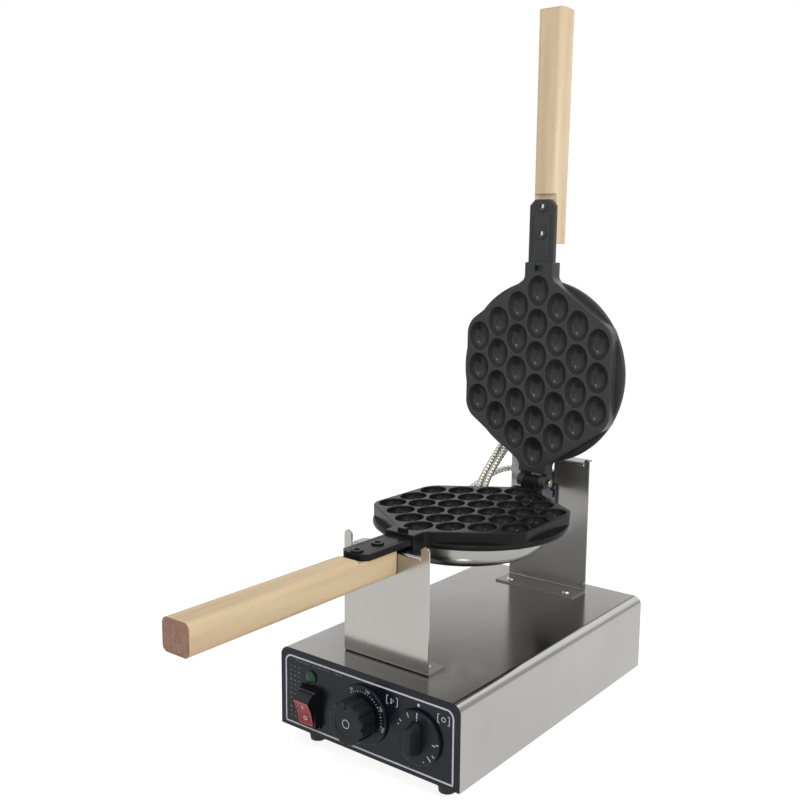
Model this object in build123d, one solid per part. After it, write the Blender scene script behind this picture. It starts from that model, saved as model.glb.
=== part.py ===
"""A bubble waffle maker for the counter, modelled in millimetres.

+Z is up and the controls face -Y. The origin is on the table, under the middle of the base.
The two plates are drawn in a plate frame of their own: its origin is the middle of the baking
face, +Z leaves that face, and +Y runs towards the hinge. The upper plate is the same casting
turned over, set on the lower one and swung open about the hinge.
"""

from build123d import *
import math
import os

os.makedirs("parts", exist_ok=True)

# Base box
base_width = 240.0
base_depth = 394.0
base_height = 90.0
foot_height = 18.0
sheet = 1.2
corner_radius = 10.0
sheet_lip = 16.0
panel_gap = 0.15
panel_flange = 14.0
rear_recess = 2.0
fascia_thick = 1.0
fascia_inset = 0.5
vent_width = 4.0
vent_length = 60.0
vent_pitch = 12.0
vent_count = 9
lip_screw_inset = 7.0
lip_screw_radius = 1.7
lip_screw_head_radius = 3.4
lip_screw_head_height = 1.8
lip_screw_length = 6.0

# Feet
foot_top_radius = 10.0
foot_low_radius = 8.5
foot_from_side = 32.0
foot_from_end = 25.0
foot_screw_radius = 2.0
foot_screw_gap = 0.1
foot_screw_head_radius = 4.0
foot_screw_head_height = 2.4
foot_recess_radius = 5.0
foot_recess_depth = 8.0

# Front rest bracket
bracket_sheet = 2.0
bracket_bend = 2.5
bracket_half_width = 56.2
front_bracket_y = -164.0
front_flange_depth = 30.0
ledge_drop = 13.0
ledge_depth = 20.0
ledge_corner = 6.0
horn_width = 10.0
horn_relief = 1.5
horn_rise = 11.5

# Rear pivot bracket
rear_bracket_y = 168.0
rear_bracket_rise = 29.0
rear_flange_depth = 35.0
rear_lip_depth = 24.0
rear_ear_width = 7.0
rear_ear_rise = 4.7
slot_width = 14.0
slot_gap = 0.2

# Bracket screws and nuts
bracket_screw_x = 41.0
bracket_screw_inset = 12.0
bracket_screw_radius = 2.5
bracket_screw_gap = 0.1
bracket_screw_head_radius = 5.0
bracket_screw_head_height = 2.8
bracket_nut_across = 8.0
bracket_nut_length = 4.0

# Plates: where they lie, and the castings
face_height = 245.0
field_y = -8.0
closed_gap = 1.8
hex_half_width = 102.0
hex_flat_half = 56.5
hex_half_length = 113.7
hex_corner = 25.0
neck_corner = 8.0
mould_wall = 12.0
mould_depth = 18.0
disc_radius = 113.0
neck_half_width = 19.5
neck_front = 134.0
cell_width = 28.8
cell_length = 36.1
cell_pitch_across = 27.84
cell_pitch_along = 39.87
cell_longest_column = 6
cell_columns_aside = 3
lug_from = 123.6
lug_to = 129.9
lug_half_width = 5.2
lug_height = 4.0
pocket_gap = 0.6

# Tongue under which the handle is lapped
tongue_half_width = 17.5
tongue_top = 4.0
tongue_bottom = 11.0
tongue_tip = 209.0
tongue_tip_chamfer = 7.0
tongue_edge = 4.0
boss_near = 168.6
boss_far = 200.9
boss_radius = 6.8
boss_rise = 1.8
boss_hole_gap = 0.1
keel_gap = 0.3
keel_half_width = 6.3
keel_end_gap = 0.6

# Handles
handle_gap = 0.5
handle_end = 430.2
shoulder = 216.0
handle_top = 7.7
handle_depth = 30.8
handle_inner_width = 31.0
handle_outer_width = 34.0
handle_corner = 6.0
handle_screw_radius = 3.0
handle_screw_head_radius = 5.5
handle_screw_head_height = 3.0
handle_screw_short = 1.0

# Dish covers and what they hold
dish_shift = 16.0
dish_radius = 92.0
dish_bottom_radius = 79.0
dish_depth = 23.0
dish_wall = 1.0
dish_straight = 6.0
post_circle = 70.0
post_radius = 4.5
dish_screw_radius = 2.0
dish_screw_grip = 10.0
dish_screw_head_radius = 4.0
dish_screw_head_height = 1.4
heater_circle = 50.0
heater_radius = 3.5
heater_gap = 0.1
heater_arc = 320.0
clamp_half_length = 57.0
clamp_half_width = 7.0
clamp_thick = 3.0
clamp_boss_radius = 9.0
clamp_screw_radius = 2.5
clamp_screw_grip = 4.0
clamp_screw_head_radius = 5.0
clamp_screw_head_height = 2.5

# Hinge between the plates
hinge_back = 136.7
hinge_rise = 6.3
open_angle = 90.7
knuckle_radius = 8.0
middle_knuckle_half = 10.4
knuckle_gap = 0.5
lower_neck_end = 126.5
upper_neck_end = 125.4
pin_radius = 3.0
pin_gap = 0.05
pin_head_radius = 5.4
pin_head_length = 3.4
pin_nut_across = 9.0
pin_nut_length = 5.0

# Pivot on which the plates turn over
shaft_radius = 4.0
shaft_gap = 0.05
shaft_start = 141.0
shaft_boss_radius = 9.0
shaft_boss_end = 152.0
bush_radius = 5.2
bush_flange_radius = 7.5
bush_flange_thick = 1.5
block_front = 160.0
block_rise = 13.0
block_drop = 20.0
block_lip_half = 10.0
block_lip_rise = 9.0
block_lip_gap = 0.3
block_flange_half = 13.0
block_flange_gap = 0.3
block_flange_thick = 5.0
block_corner = 2.0
washer_gap = 0.3
washer_radius = 9.0
washer_thick = 1.6
pivot_nut_across = 13.0
pivot_nut_length = 6.5
shaft_tail = 3.0

# Corrugated conduits and their fittings
hose_radius = 4.0
hose_groove = 0.6
hose_bore = 2.7
rib_pitch = 4.7
hose_spacing = 8.9
twin_gland_angle = 29.0
link_gland_angle = 43.0
gland_wall = 2.2
gland_reach = 8.0
gland_stand_off = 0.6
hose_free_from = 116.6
gland_neck_wall = 1.2
base_gland_x = 30.0
base_gland_y = 184.0
base_gland_height = 9.0
gland_neck_drop = 6.0
clip_x = -24.0
clip_y = 184.0
clip_rise = -18.0
clip_slope = 37.0
clip_height = 8.0
clip_wall = 2.0
clip_arm_height = 9.0
clip_arm_end = 6.0
clip_screw_radius = 1.5
clip_screw_grip = 8.0

# Points that the hoses run through, from the upper plate or the base onwards
twin_route = [(-64, 136, 265), (-66, 112, 240)]
feed_route = [(22, 184, 165)]
link_route = [(-52, 180, 247), (-68, 164, 245), (-78, 136, 234), (-84, 104, 224)]

# Power switch
switch_x = -74.5
switch_z = 32.7
switch_flange_width = 28.0
switch_flange_height = 43.5
switch_flange_thick = 2.5
bezel_width = 25.0
bezel_height = 41.5
bezel_front = 8.0
rocker_width = 20.6
rocker_radius = 19.0
rocker_half_face = 15.0
rocker_dish = 1.4
rocker_back = 6.0
rocker_gap = 0.5
rocker_pivot_depth = 1.5
rocker_tilt = 18.0
rocker_pin_radius = 1.5
rocker_pin_length = 1.0
switch_body_height = 41.0
switch_body_depth = 30.0

# Pilot lamp
lamp_x = -74.5
lamp_z = 65.0
lamp_radius = 6.2
lamp_bezel_radius = 7.4
lamp_front = 4.5
lamp_bezel_front = 1.6
lamp_hole_radius = 5.0
lamp_body_length = 22.0

# Thermostat
thermostat_x = 0.0
thermostat_z = 46.0
thermostat_dial_radius = 31.5
thermostat_dial_front = 4.0
thermostat_hub_radius = 18.0
thermostat_knob_radius = 22.5
thermostat_knob_back = 8.0
thermostat_knob_front = 30.0
knob_edge = 1.6
knob_scallops = 12
knob_scallop_radius = 3.6
knob_scallop_out = 1.8

# Timer
timer_x = 70.0
timer_z = 43.5
timer_dial_radius = 28.5
timer_dial_front = 4.5
timer_grip_front = 20.0
timer_grip_length = 36.0
timer_grip_width = 15.0
timer_grip_taper = 12.0
control_shaft_radius = 3.0
control_shaft_gap = 0.05
control_hole_gap = 0.6
control_gap = 0.4
control_grip = 8.0
control_body_radius = 21.0
control_body_depth = 32.0
control_shaft_in_body = 14.0

# Rear panel fittings
lead_gland_x = 70.0
lead_gland_z = 32.0
lead_gland_radius = 9.5
lead_gland_length = 14.0
lead_gland_inside = 8.0
lead_neck_radius = 7.5
lead_bore_radius = 4.0
terminal_x = 60.0
terminal_y = 120.0
terminal_width = 46.0
terminal_depth = 18.0
terminal_height = 22.0
terminal_ways = 4
terminal_hole_radius = 2.5
terminal_hole_depth = 6.0

# Places worked out from the values above
base_top = foot_height + base_height
floor_plate = foot_height + sheet
front = -base_depth / 2
back = base_depth / 2
side = base_width / 2
panel_front = front + fascia_thick
panel_inset = sheet + panel_gap
ledge_height = face_height - ledge_drop
rear_bracket_top = face_height + rear_bracket_rise
hinge_y = field_y + hinge_back
hinge_z = face_height + hinge_rise
dish_bottom = mould_depth + dish_depth
handle_start = field_y - front_bracket_y + handle_gap
block_back = rear_bracket_y + bracket_sheet + block_flange_gap + block_flange_thick
clip_screw_height = face_height - block_drop + 2 * slot_gap + clip_arm_height / 2
switch_height = foot_height + switch_z
lower_plate = Pos(0, field_y, face_height)
closed_plate = Pos(0, field_y, face_height + closed_gap) * Rot(0, 180, 0)
hinge_axis = Axis((0, hinge_y, hinge_z), (1, 0, 0))


def block(x0, x1, y0, y1, z0, z1):
    """A box between two corners."""
    place = Pos((x0 + x1) / 2, (y0 + y1) / 2, (z0 + z1) / 2)
    return place * Box(abs(x1 - x0), abs(y1 - y0), abs(z1 - z0))


def rod(start, end, radius):
    """A round bar from one point to another."""
    line = Vector(*end) - Vector(*start)
    plane = Plane(origin=start, z_dir=line)
    return extrude(plane * Circle(radius), line.length)


def nut(start, end, across):
    """A six-sided bar from one point to another."""
    line = Vector(*end) - Vector(*start)
    plane = Plane(origin=start, z_dir=line)
    return extrude(plane * RegularPolygon(across / 2, 6, major_radius=False), line.length)


def round_head(point, direction, radius, height):
    """A domed screw head standing on a face, drawn by turning its half section."""
    dome = height * 0.75
    ball = (radius**2 + dome**2) / (2 * dome)
    half_angle = math.asin(radius / ball) / 2
    between = (ball * math.sin(half_angle), height - ball * (1 - math.cos(half_angle)))
    outline = Polyline((0, height), (0, 0), (radius, 0), (radius, height - dome))
    crown = ThreePointArc((radius, height - dome), between, (0, height))
    section = make_face(outline + crown)
    return Plane(origin=point, z_dir=direction) * revolve(Plane.XZ * section, Axis.Z)


def front_view(y):
    """A drawing plane seen from the front, with X to the right and Z up."""
    return Plane(origin=(0, y, 0), x_dir=(1, 0, 0), z_dir=(0, -1, 0))


def save(name, *solids):
    """Writes one node, of one solid or of several alike."""
    shape = solids[0] if len(solids) == 1 else Compound(children=list(solids))
    export_step(shape, f"parts/{name}.step")
    print(name)


# Base: a folded sheet shell, open below and at both ends
def base_outline(inset):
    """The front view of the base, drawn inset all round, with two rounded top corners."""
    middle = foot_height + base_height / 2
    outline = Pos(0, middle) * Rectangle(base_width - 2 * inset, base_height - 2 * inset)
    tops = outline.vertices().group_by(Axis.Y)[-1]
    return fillet(tops, corner_radius - inset)


def bracket_screw_places():
    """The four screws that hold the two brackets, as x and y."""
    front_y = front_bracket_y + front_flange_depth - bracket_screw_inset
    rear_y = rear_bracket_y - rear_flange_depth + bracket_screw_inset + bracket_sheet
    return [(x, y) for y in (front_y, rear_y) for x in (-bracket_screw_x, bracket_screw_x)]


def lip_screw_places():
    """The screws up through the folded lips, at the panels and along the bottom plate."""
    x = side - sheet_lip / 2
    ends = (panel_front + lip_screw_inset, back - rear_recess - lip_screw_inset)
    inner = (panel_front + panel_flange + 4 * lip_screw_inset, back - 8 * lip_screw_inset, 0)
    return [(s * x, y) for y in ends + inner for s in (-1, 1)]


def foot_places():
    x = side - foot_from_side
    y = back - foot_from_end
    return [(i * x, j * y) for i in (-1, 1) for j in (-1, 1)]


def make_base_shell():
    section = base_outline(0) - base_outline(sheet)
    opening = Pos(0, foot_height) * Rectangle(base_width - 2 * sheet_lip, 4 * sheet)
    shell = extrude(front_view(back) * (section - opening), back - panel_front)
    for x, y in bracket_screw_places():
        shell -= rod((x, y, base_top - 3), (x, y, base_top + 1), bracket_screw_radius + bracket_screw_gap)
    for x, y in lip_screw_places():
        shell -= rod((x, y, foot_height - 1), (x, y, foot_height + 3), lip_screw_radius)
    shell -= rod(
        (base_gland_x, base_gland_y, base_top - 3),
        (base_gland_x, base_gland_y, base_top + 1),
        hose_bore + gland_neck_wall,
    )
    save("base_shell", shell)


def end_panel(y, inward):
    """An end panel with its floor flange; inward is +1 at the front and -1 at the back."""
    panel = extrude(front_view(y + sheet / 2) * base_outline(panel_inset), sheet)
    low = foot_height + sheet
    panel -= block(-side, side, y - sheet, y + sheet, foot_height, low)
    far = y + inward * (panel_flange - sheet / 2)
    reach = side - panel_inset
    panel += block(-reach, reach, y - inward * sheet / 2, far, low, low + sheet)
    for x, at in lip_screw_places():
        panel -= rod((x, at, low - 1), (x, at, low + 3), lip_screw_radius)
    return panel


def make_front_panel():
    panel = end_panel(panel_front + sheet / 2, 1)
    save("front_panel", panel - front_cutters())


def front_cutters():
    """The openings through the front: switch, lamp and the two control shafts."""
    y0 = front - 1
    y1 = panel_front + sheet + 1
    half_high = switch_body_height / 2 + rocker_gap
    half_wide = bezel_width / 2 - rocker_gap
    cutters = [
        block(switch_x - half_wide, switch_x + half_wide, y0, y1,
              switch_height - half_high, switch_height + half_high),
        rod((lamp_x, y0, foot_height + lamp_z), (lamp_x, y1, foot_height + lamp_z),
            lamp_hole_radius + panel_gap),
    ]
    for x, z in ((thermostat_x, thermostat_z), (timer_x, timer_z)):
        height = foot_height + z
        cutters.append(rod((x, y0, height), (x, y1, height), control_shaft_radius + control_hole_gap))
    return cutters


def make_control_fascia():
    fascia = extrude(front_view(panel_front) * base_outline(fascia_inset), fascia_thick)
    save("control_fascia", fascia - front_cutters())


def make_rear_panel():
    y = back - rear_recess - sheet / 2
    panel = end_panel(y, -1)
    height = foot_height + lead_gland_z
    panel -= rod((lead_gland_x, y - 4, height), (lead_gland_x, y + 4, height), lead_neck_radius + panel_gap)
    save("rear_panel", panel)


def make_bottom_plate():
    reach = side - panel_inset
    y0 = panel_front + panel_flange + panel_gap
    y1 = back - rear_recess - panel_flange - panel_gap
    plate = block(-reach, reach, y0, y1, floor_plate, floor_plate + sheet)
    vents = [
        Pos((i - (vent_count - 1) / 2) * vent_pitch, 0, floor_plate)
        * extrude(SlotOverall(vent_length, vent_width, rotation=90), 3 * sheet, both=True)
        for i in range(vent_count)
    ]
    plate -= vents
    for x, y in foot_places():
        plate -= rod((x, y, floor_plate - 1), (x, y, floor_plate + 3), foot_screw_radius + foot_screw_gap)
    for x, y in lip_screw_places():
        plate -= rod((x, y, floor_plate - 1), (x, y, floor_plate + 3), lip_screw_radius)
    save("bottom_plate", plate)


def make_housing_screws():
    screws = []
    for x, y in lip_screw_places():
        seat = (x, y, foot_height)
        head = round_head(seat, (0, 0, -1), lip_screw_head_radius, lip_screw_head_height)
        screws.append(head + rod(seat, (x, y, foot_height + lip_screw_length), lip_screw_radius))
    save("housing_screws", *screws)


def make_feet():
    feet = []
    screws = []
    for x, y in foot_places():
        outline = Polyline(
            (foot_screw_radius + foot_screw_gap, floor_plate),
            (foot_top_radius, floor_plate),
            (foot_top_radius, foot_height / 2),
            (foot_low_radius, 0),
            (foot_recess_radius, 0),
            (foot_recess_radius, foot_recess_depth),
            (foot_screw_radius + foot_screw_gap, foot_recess_depth),
            close=True,
        )
        feet.append(Pos(x, y, 0) * revolve(Plane.XZ * make_face(outline), Axis.Z))
        seat = (x, y, foot_recess_depth)
        head = round_head(seat, (0, 0, -1), foot_screw_head_radius, foot_screw_head_height)
        screws.append(head + rod(seat, (x, y, floor_plate + 4 * sheet), foot_screw_radius))
    save("rubber_feet", *feet)
    save("foot_screws", *screws)


# Brackets: bent sheet, drawn as the middle line of their section
def bent_sheet(points, half_width):
    """Sheet bent along points in the Y-Z plane, as wide as twice half_width."""
    line = FilletPolyline(*points, radius=bracket_bend)
    section = Plane.YZ * trace(line, bracket_sheet)
    return extrude(section, half_width, both=True)


def tab(x0, x1, y, z0, z1):
    """An upright sheet tab with a round tip."""
    radius = (x1 - x0) / 2
    outline = Pos((x0 + x1) / 2, (z0 + z1 - radius) / 2) * Rectangle(x1 - x0, z1 - radius - z0)
    outline += Pos((x0 + x1) / 2, z1 - radius) * Circle(radius)
    return extrude(front_view(y + bracket_sheet) * outline, bracket_sheet)


def make_front_bracket():
    half = bracket_sheet / 2
    foot_end = front_bracket_y + front_flange_depth
    points = [
        (foot_end, base_top + half),
        (front_bracket_y + half, base_top + half),
        (front_bracket_y + half, ledge_height - half),
        (front_bracket_y + ledge_depth, ledge_height - half),
    ]
    bracket = bent_sheet(points, bracket_half_width)
    ledge_half = bracket_half_width - horn_width - horn_relief
    low = ledge_height - bracket_bend - bracket_sheet
    for s in (-1, 1):
        inner = s * ledge_half
        outer = s * (bracket_half_width + 1)
        bracket -= block(inner, outer, front_bracket_y - 1, 0, low, ledge_height + 1)
        x0, x1 = sorted((s * (bracket_half_width - horn_width), s * bracket_half_width))
        bracket += tab(x0, x1, front_bracket_y, low - 1, ledge_height + horn_rise)
    corners = bracket.edges().filter_by(Axis.Z).filter_by(
        lambda e: abs(e.center().Y - front_bracket_y - ledge_depth) < 0.1
    )
    bracket = fillet(corners, ledge_corner)
    for x, y in bracket_screw_places()[:2]:
        bracket -= rod((x, y, base_top - 1), (x, y, base_top + 4), bracket_screw_radius + bracket_screw_gap)
    save("front_rest_bracket", bracket)


def make_rear_bracket():
    half = bracket_sheet / 2
    points = [
        (rear_bracket_y + bracket_sheet - rear_flange_depth, base_top + half),
        (rear_bracket_y + half, base_top + half),
        (rear_bracket_y + half, rear_bracket_top - half),
        (rear_bracket_y + rear_lip_depth, rear_bracket_top - half),
    ]
    bracket = bent_sheet(points, bracket_half_width)
    low = rear_bracket_top - bracket_bend - bracket_sheet
    for s in (-1, 1):
        inner = s * (bracket_half_width - rear_ear_width - horn_relief)
        outer = s * (bracket_half_width + 1)
        bracket -= block(inner, outer, rear_bracket_y - 1, back + 9, low, rear_bracket_top + 1)
        x0, x1 = sorted((s * (bracket_half_width - rear_ear_width), s * bracket_half_width))
        bracket += tab(x0, x1, rear_bracket_y, low - 1, rear_bracket_top + rear_ear_rise)
    slot_floor = face_height - block_drop
    bracket -= block(
        -slot_width / 2, slot_width / 2, rear_bracket_y - 1, back + 9, slot_floor, rear_bracket_top + 1
    )
    for x, y in bracket_screw_places()[2:]:
        bracket -= rod((x, y, base_top - 1), (x, y, base_top + 4), bracket_screw_radius + bracket_screw_gap)
    save("rear_pivot_bracket", bracket)


def make_bracket_screws():
    screws = []
    nuts = []
    seat = base_top + bracket_sheet
    low = base_top - sheet
    for x, y in bracket_screw_places():
        head = round_head((x, y, seat), (0, 0, 1), bracket_screw_head_radius, bracket_screw_head_height)
        end = low - bracket_nut_length - 1
        screws.append(head + rod((x, y, seat), (x, y, end), bracket_screw_radius))
        ring = nut((x, y, low), (x, y, low - bracket_nut_length), bracket_nut_across)
        nuts.append(ring - rod((x, y, low + 1), (x, y, end), bracket_screw_radius))
    save("bracket_screws", *screws)
    save("bracket_nuts", *nuts)


# Plates: one casting, with a lug below and a pocket above
def field_outline(neck_end):
    """The plan of the raised field with both necks, its corners and their roots rounded."""
    points = [
        (hex_half_width, -hex_flat_half),
        (hex_half_width, hex_flat_half),
        (neck_half_width, hex_half_length),
        (-neck_half_width, hex_half_length),
        (-hex_half_width, hex_flat_half),
        (-hex_half_width, -hex_flat_half),
        (-neck_half_width, -hex_half_length),
        (neck_half_width, -hex_half_length),
    ]
    outline = make_face(Polyline(*points, close=True))
    sides = outline.vertices().filter_by(lambda v: abs(v.X) > hex_half_width - 1)
    outline = fillet(sides, hex_corner)
    middle = (neck_end - neck_front) / 2
    outline += Pos(0, middle) * Rectangle(2 * neck_half_width, neck_front + neck_end)
    roots = outline.vertices().filter_by(
        lambda v: abs(abs(v.X) - neck_half_width) < 0.1 and abs(abs(v.Y) - hex_half_length) < 0.1
    )
    return fillet(roots, neck_corner)


def cell_places():
    """The middles of the oval cells: a longest column, and one fewer in each to the side."""
    places = []
    for column in range(-cell_columns_aside, cell_columns_aside + 1):
        count = cell_longest_column - abs(column)
        for i in range(count):
            along = (i - (count - 1) / 2) * cell_pitch_along
            places.append((column * cell_pitch_across, along))
    return places


def cell_cutter():
    """An egg-shaped hollow, half an ellipse turned about its long axis."""
    half = Ellipse(cell_width / 2, cell_length / 2) & Pos(cell_width / 2, 0) * Rectangle(
        cell_width, cell_length
    )
    return revolve(half, Axis.Y)


def post_places():
    reach = post_circle / math.sqrt(2)
    return [(i * reach, j * reach - dish_shift) for i in (-1, 1) for j in (-1, 1)]


def mould_body(neck_end):
    """What both castings share: field, rim disc, front neck, rear neck, tongue and posts."""
    body = extrude(field_outline(neck_end), -mould_depth)
    body += Pos(0, 0, -mould_depth) * extrude(Circle(disc_radius), mould_depth - mould_wall)
    body += tongue()
    for x, y in post_places():
        post = rod((x, y, -mould_depth + 1), (x, y, -dish_bottom + dish_wall), post_radius)
        low = -dish_bottom
        body += post - rod((x, y, low - 1), (x, y, low + dish_screw_grip), dish_screw_radius)
    cutter = cell_cutter()
    body -= [Pos(x, y, 0) * cutter for x, y in cell_places()]
    body -= rod((0, 0, -mould_depth - 1), (0, 0, -mould_depth + clamp_screw_grip), clamp_screw_radius)
    return body


def tongue():
    """The flat arm that carries the handle, with a ring boss round each screw."""
    width = 2 * tongue_half_width
    length = tongue_tip - neck_front + 2
    section = Pos(0, -(tongue_top + tongue_bottom) / 2) * Rectangle(width, tongue_bottom - tongue_top)
    low = section.vertices().group_by(Axis.Y)[0]
    section = fillet(low, tongue_edge)
    arm = extrude(front_view(-neck_front + 2) * section, length)
    plan = Pos(0, -tongue_tip + length / 2) * Rectangle(width, length)
    plan = chamfer(plan.vertices().group_by(Axis.Y)[0], tongue_tip_chamfer)
    arm = arm & extrude(plan, -mould_depth)
    for y in (-boss_near, -boss_far):
        arm += rod((0, y, -tongue_top - 1), (0, y, -tongue_top + boss_rise), boss_radius)
        arm -= rod((0, y, 1), (0, y, -tongue_bottom - 1), handle_screw_radius + boss_hole_gap)
    return arm


def rest_keel():
    """The rounded pad under the lower tongue that stands on the ledge of the front bracket."""
    reach = ledge_drop - keel_gap
    height = 2 * (reach - tongue_bottom + 1)
    section = Circle(reach) & Pos(0, -reach) * Rectangle(2 * keel_half_width, height)
    length = handle_start - keel_end_gap - neck_front + 2
    return extrude(front_view(-neck_front + 2) * section, length)


def knuckle(x0, x1, height, toward):
    """A hinge barrel between x0 and x1, joined to its neck; toward is the web's far face."""
    barrel = rod((x0, hinge_back, height), (x1, hinge_back, height), knuckle_radius)
    return barrel + block(x0, x1, toward, hinge_back, -mould_depth, height)


def make_lower_mould():
    mould = mould_body(lower_neck_end)
    mould += block(-lug_half_width, lug_half_width, -lug_to, -lug_from, -1, lug_height)
    mould += rest_keel()
    mould += knuckle(-middle_knuckle_half, middle_knuckle_half, hinge_rise, lower_neck_end - 1)
    mould += rod((0, hinge_back, 0), (0, shaft_boss_end, 0), shaft_boss_radius)
    mould -= rod((-side, hinge_back, hinge_rise), (side, hinge_back, hinge_rise), pin_radius + pin_gap)
    mould -= rod((0, shaft_start, 0), (0, shaft_boss_end + 1, 0), shaft_radius)
    save("lower_mould", lower_plate * mould)


def open_up(shape):
    """Takes a shape from the plate frame to the upper plate, swung open."""
    return (closed_plate * shape).rotate(hinge_axis, -open_angle)


def make_upper_mould():
    mould = mould_body(upper_neck_end)
    gap = pocket_gap
    mould -= block(
        -lug_half_width - gap, lug_half_width + gap, -lug_to - gap, -lug_from + gap, -lug_height - gap, 1
    )
    height = closed_gap - hinge_rise
    inner = middle_knuckle_half + knuckle_gap
    for s in (-1, 1):
        x0, x1 = sorted((s * inner, s * neck_half_width))
        mould += knuckle(x0, x1, height, upper_neck_end - 1)
    mould -= rod((-side, hinge_back, height), (side, hinge_back, height), pin_radius)
    save("upper_mould", open_up(mould))


def make_hinge_pin():
    """The pin is held by the upper knuckles and turns in the lower one."""
    start = -neck_half_width
    end = neck_half_width
    pin = rod((start, hinge_y, hinge_z), (end + pin_nut_length + 1, hinge_y, hinge_z), pin_radius)
    pin += round_head((start, hinge_y, hinge_z), (-1, 0, 0), pin_head_radius, pin_head_length)
    save("hinge_pin", pin)
    ring = nut((end, hinge_y, hinge_z), (end + pin_nut_length, hinge_y, hinge_z), pin_nut_across)
    save("hinge_nut", ring - rod((0, hinge_y, hinge_z), (side, hinge_y, hinge_z), pin_radius))


# Handles
def handle_section(y, width):
    """The end view of a handle at y, its top edge level with the rest."""
    middle = -handle_top - handle_depth / 2
    outline = Pos(0, middle) * Rectangle(width, handle_depth)
    return front_view(y) * fillet(outline.vertices(), handle_corner)


def handle():
    """A tapered stick with a lap cut for the tongue."""
    inner = handle_section(-handle_start, handle_inner_width)
    outer = handle_section(-handle_end, handle_outer_width)
    stick = loft([inner, outer], ruled=True)
    width = handle_outer_width
    stick -= block(-width, width, -shoulder, -handle_start + 1, -tongue_bottom, 0)
    bottom = -handle_top - handle_depth
    for y in (-boss_near, -boss_far):
        stick -= rod((0, y, 0), (0, y, bottom - 1), handle_screw_radius)
        seat = bottom + handle_screw_head_height
        stick -= rod((0, y, bottom - 1), (0, y, seat), handle_screw_head_radius)
    return stick


def handle_screws():
    bottom = -handle_top - handle_depth
    seat = bottom + handle_screw_head_height
    screws = []
    for y in (-boss_near, -boss_far):
        head = round_head((0, y, seat), (0, 0, -1), handle_screw_head_radius, handle_screw_head_height)
        top = -tongue_top - handle_screw_short
        screws.append(head + rod((0, y, seat), (0, y, top), handle_screw_radius))
    return screws


# Dish covers, heating elements and their clamps
def dish_section(inset):
    """Half the section of a dish cover, drawn inset by the wall."""
    radius = dish_radius - inset
    low = -dish_bottom + inset
    rim = -mould_depth
    outline = Polyline((0, low), (0, rim), (radius, rim), (radius, rim - dish_straight))
    edge = TangentArc((radius, rim - dish_straight), (dish_bottom_radius, low), tangent=(0, -1))
    floor = Line((dish_bottom_radius, low), (0, low))
    return Plane.XZ * make_face(outline + edge + floor)


def radial(angle, radius, depth, shift=0.0):
    """A point of the plate frame beside the dish: angle is measured from the hinge to the left."""
    a = math.radians(angle)
    out = Vector(-math.sin(a), math.cos(a), 0)
    along = Vector(-math.cos(a), -math.sin(a), 0)
    return out * radius + along * shift + Vector(0, 0, -depth)


gland_depth = mould_depth + hose_radius + gland_wall + gland_stand_off


def wall_beside(angle):
    """How far the dish wall is from the middle of the plate, at an angle from the hinge."""
    a = math.radians(angle)
    return math.sqrt(dish_radius**2 - (dish_shift * math.sin(a)) ** 2) - dish_shift * math.cos(a)


def collar_start(angle):
    return wall_beside(angle) + 2 * gland_stand_off


def collar_end(angle):
    return collar_start(angle) + gland_reach


def gland_solid(angle, shifts):
    """A collar outside the dish and a neck for each hose through its wall, bored through."""
    out = radial(angle, 1, 0)
    origin = radial(angle, collar_start(angle), gland_depth)
    plane = Plane(origin=origin, x_dir=radial(angle, 0, 0, 1), z_dir=out)
    outer = hose_radius + gland_wall
    if len(shifts) > 1:
        collar = SlotCenterToCenter(shifts[-1] - shifts[0], 2 * outer)
    else:
        collar = Circle(outer)
    gland = extrude(plane * collar, gland_reach)
    for shift in shifts:
        start = radial(angle, wall_beside(angle) - 5 * dish_wall, gland_depth, shift)
        end = radial(angle, collar_start(angle) + 1, gland_depth, shift)
        gland += rod(start.to_tuple(), end.to_tuple(), hose_bore + gland_neck_wall)
        end = radial(angle, collar_end(angle) + 1, gland_depth, shift)
        gland -= rod((start - out).to_tuple(), end.to_tuple(), hose_bore)
    return gland


def neck_cutters(angle, shifts):
    cutters = []
    for shift in shifts:
        start = radial(angle, wall_beside(angle) - 8 * dish_wall, gland_depth, shift)
        end = radial(angle, collar_start(angle), gland_depth, shift)
        cutters.append(rod(start.to_tuple(), end.to_tuple(), hose_bore + gland_neck_wall))
    return cutters


twin_shifts = (-hose_spacing / 2, hose_spacing / 2)


def dish_cover(cutters):
    """A pressed dish, open towards the casting."""
    hollow = revolve(dish_section(dish_wall), Axis.Z)
    hollow += Pos(0, 0, -mould_depth) * Cylinder(dish_radius - dish_wall, 2 * dish_wall)
    dish = Pos(0, -dish_shift) * (revolve(dish_section(0), Axis.Z) - hollow)
    for x, y in post_places():
        dish -= rod((x, y, -dish_bottom - 1), (x, y, -dish_bottom + 4), dish_screw_radius)
    return dish - cutters


def dish_screws():
    screws = []
    for x, y in post_places():
        head = round_head((x, y, -dish_bottom), (0, 0, -1), dish_screw_head_radius, dish_screw_head_height)
        shank = rod((x, y, -dish_bottom), (x, y, -dish_bottom + dish_screw_grip), dish_screw_radius)
        screws.append(head + shank)
    return screws


heater_depth = mould_depth + heater_gap + heater_radius
clamp_depth = heater_depth + heater_radius + heater_gap


def heater():
    """A bent tube, open towards the handle."""
    start = -90 + (360 - heater_arc) / 2
    path = Pos(0, 0, -heater_depth) * CenterArc((0, 0), heater_circle, start, heater_arc)
    section = Plane(origin=path @ 0, z_dir=path % 0) * Circle(heater_radius)
    return sweep(section, path)


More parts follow.
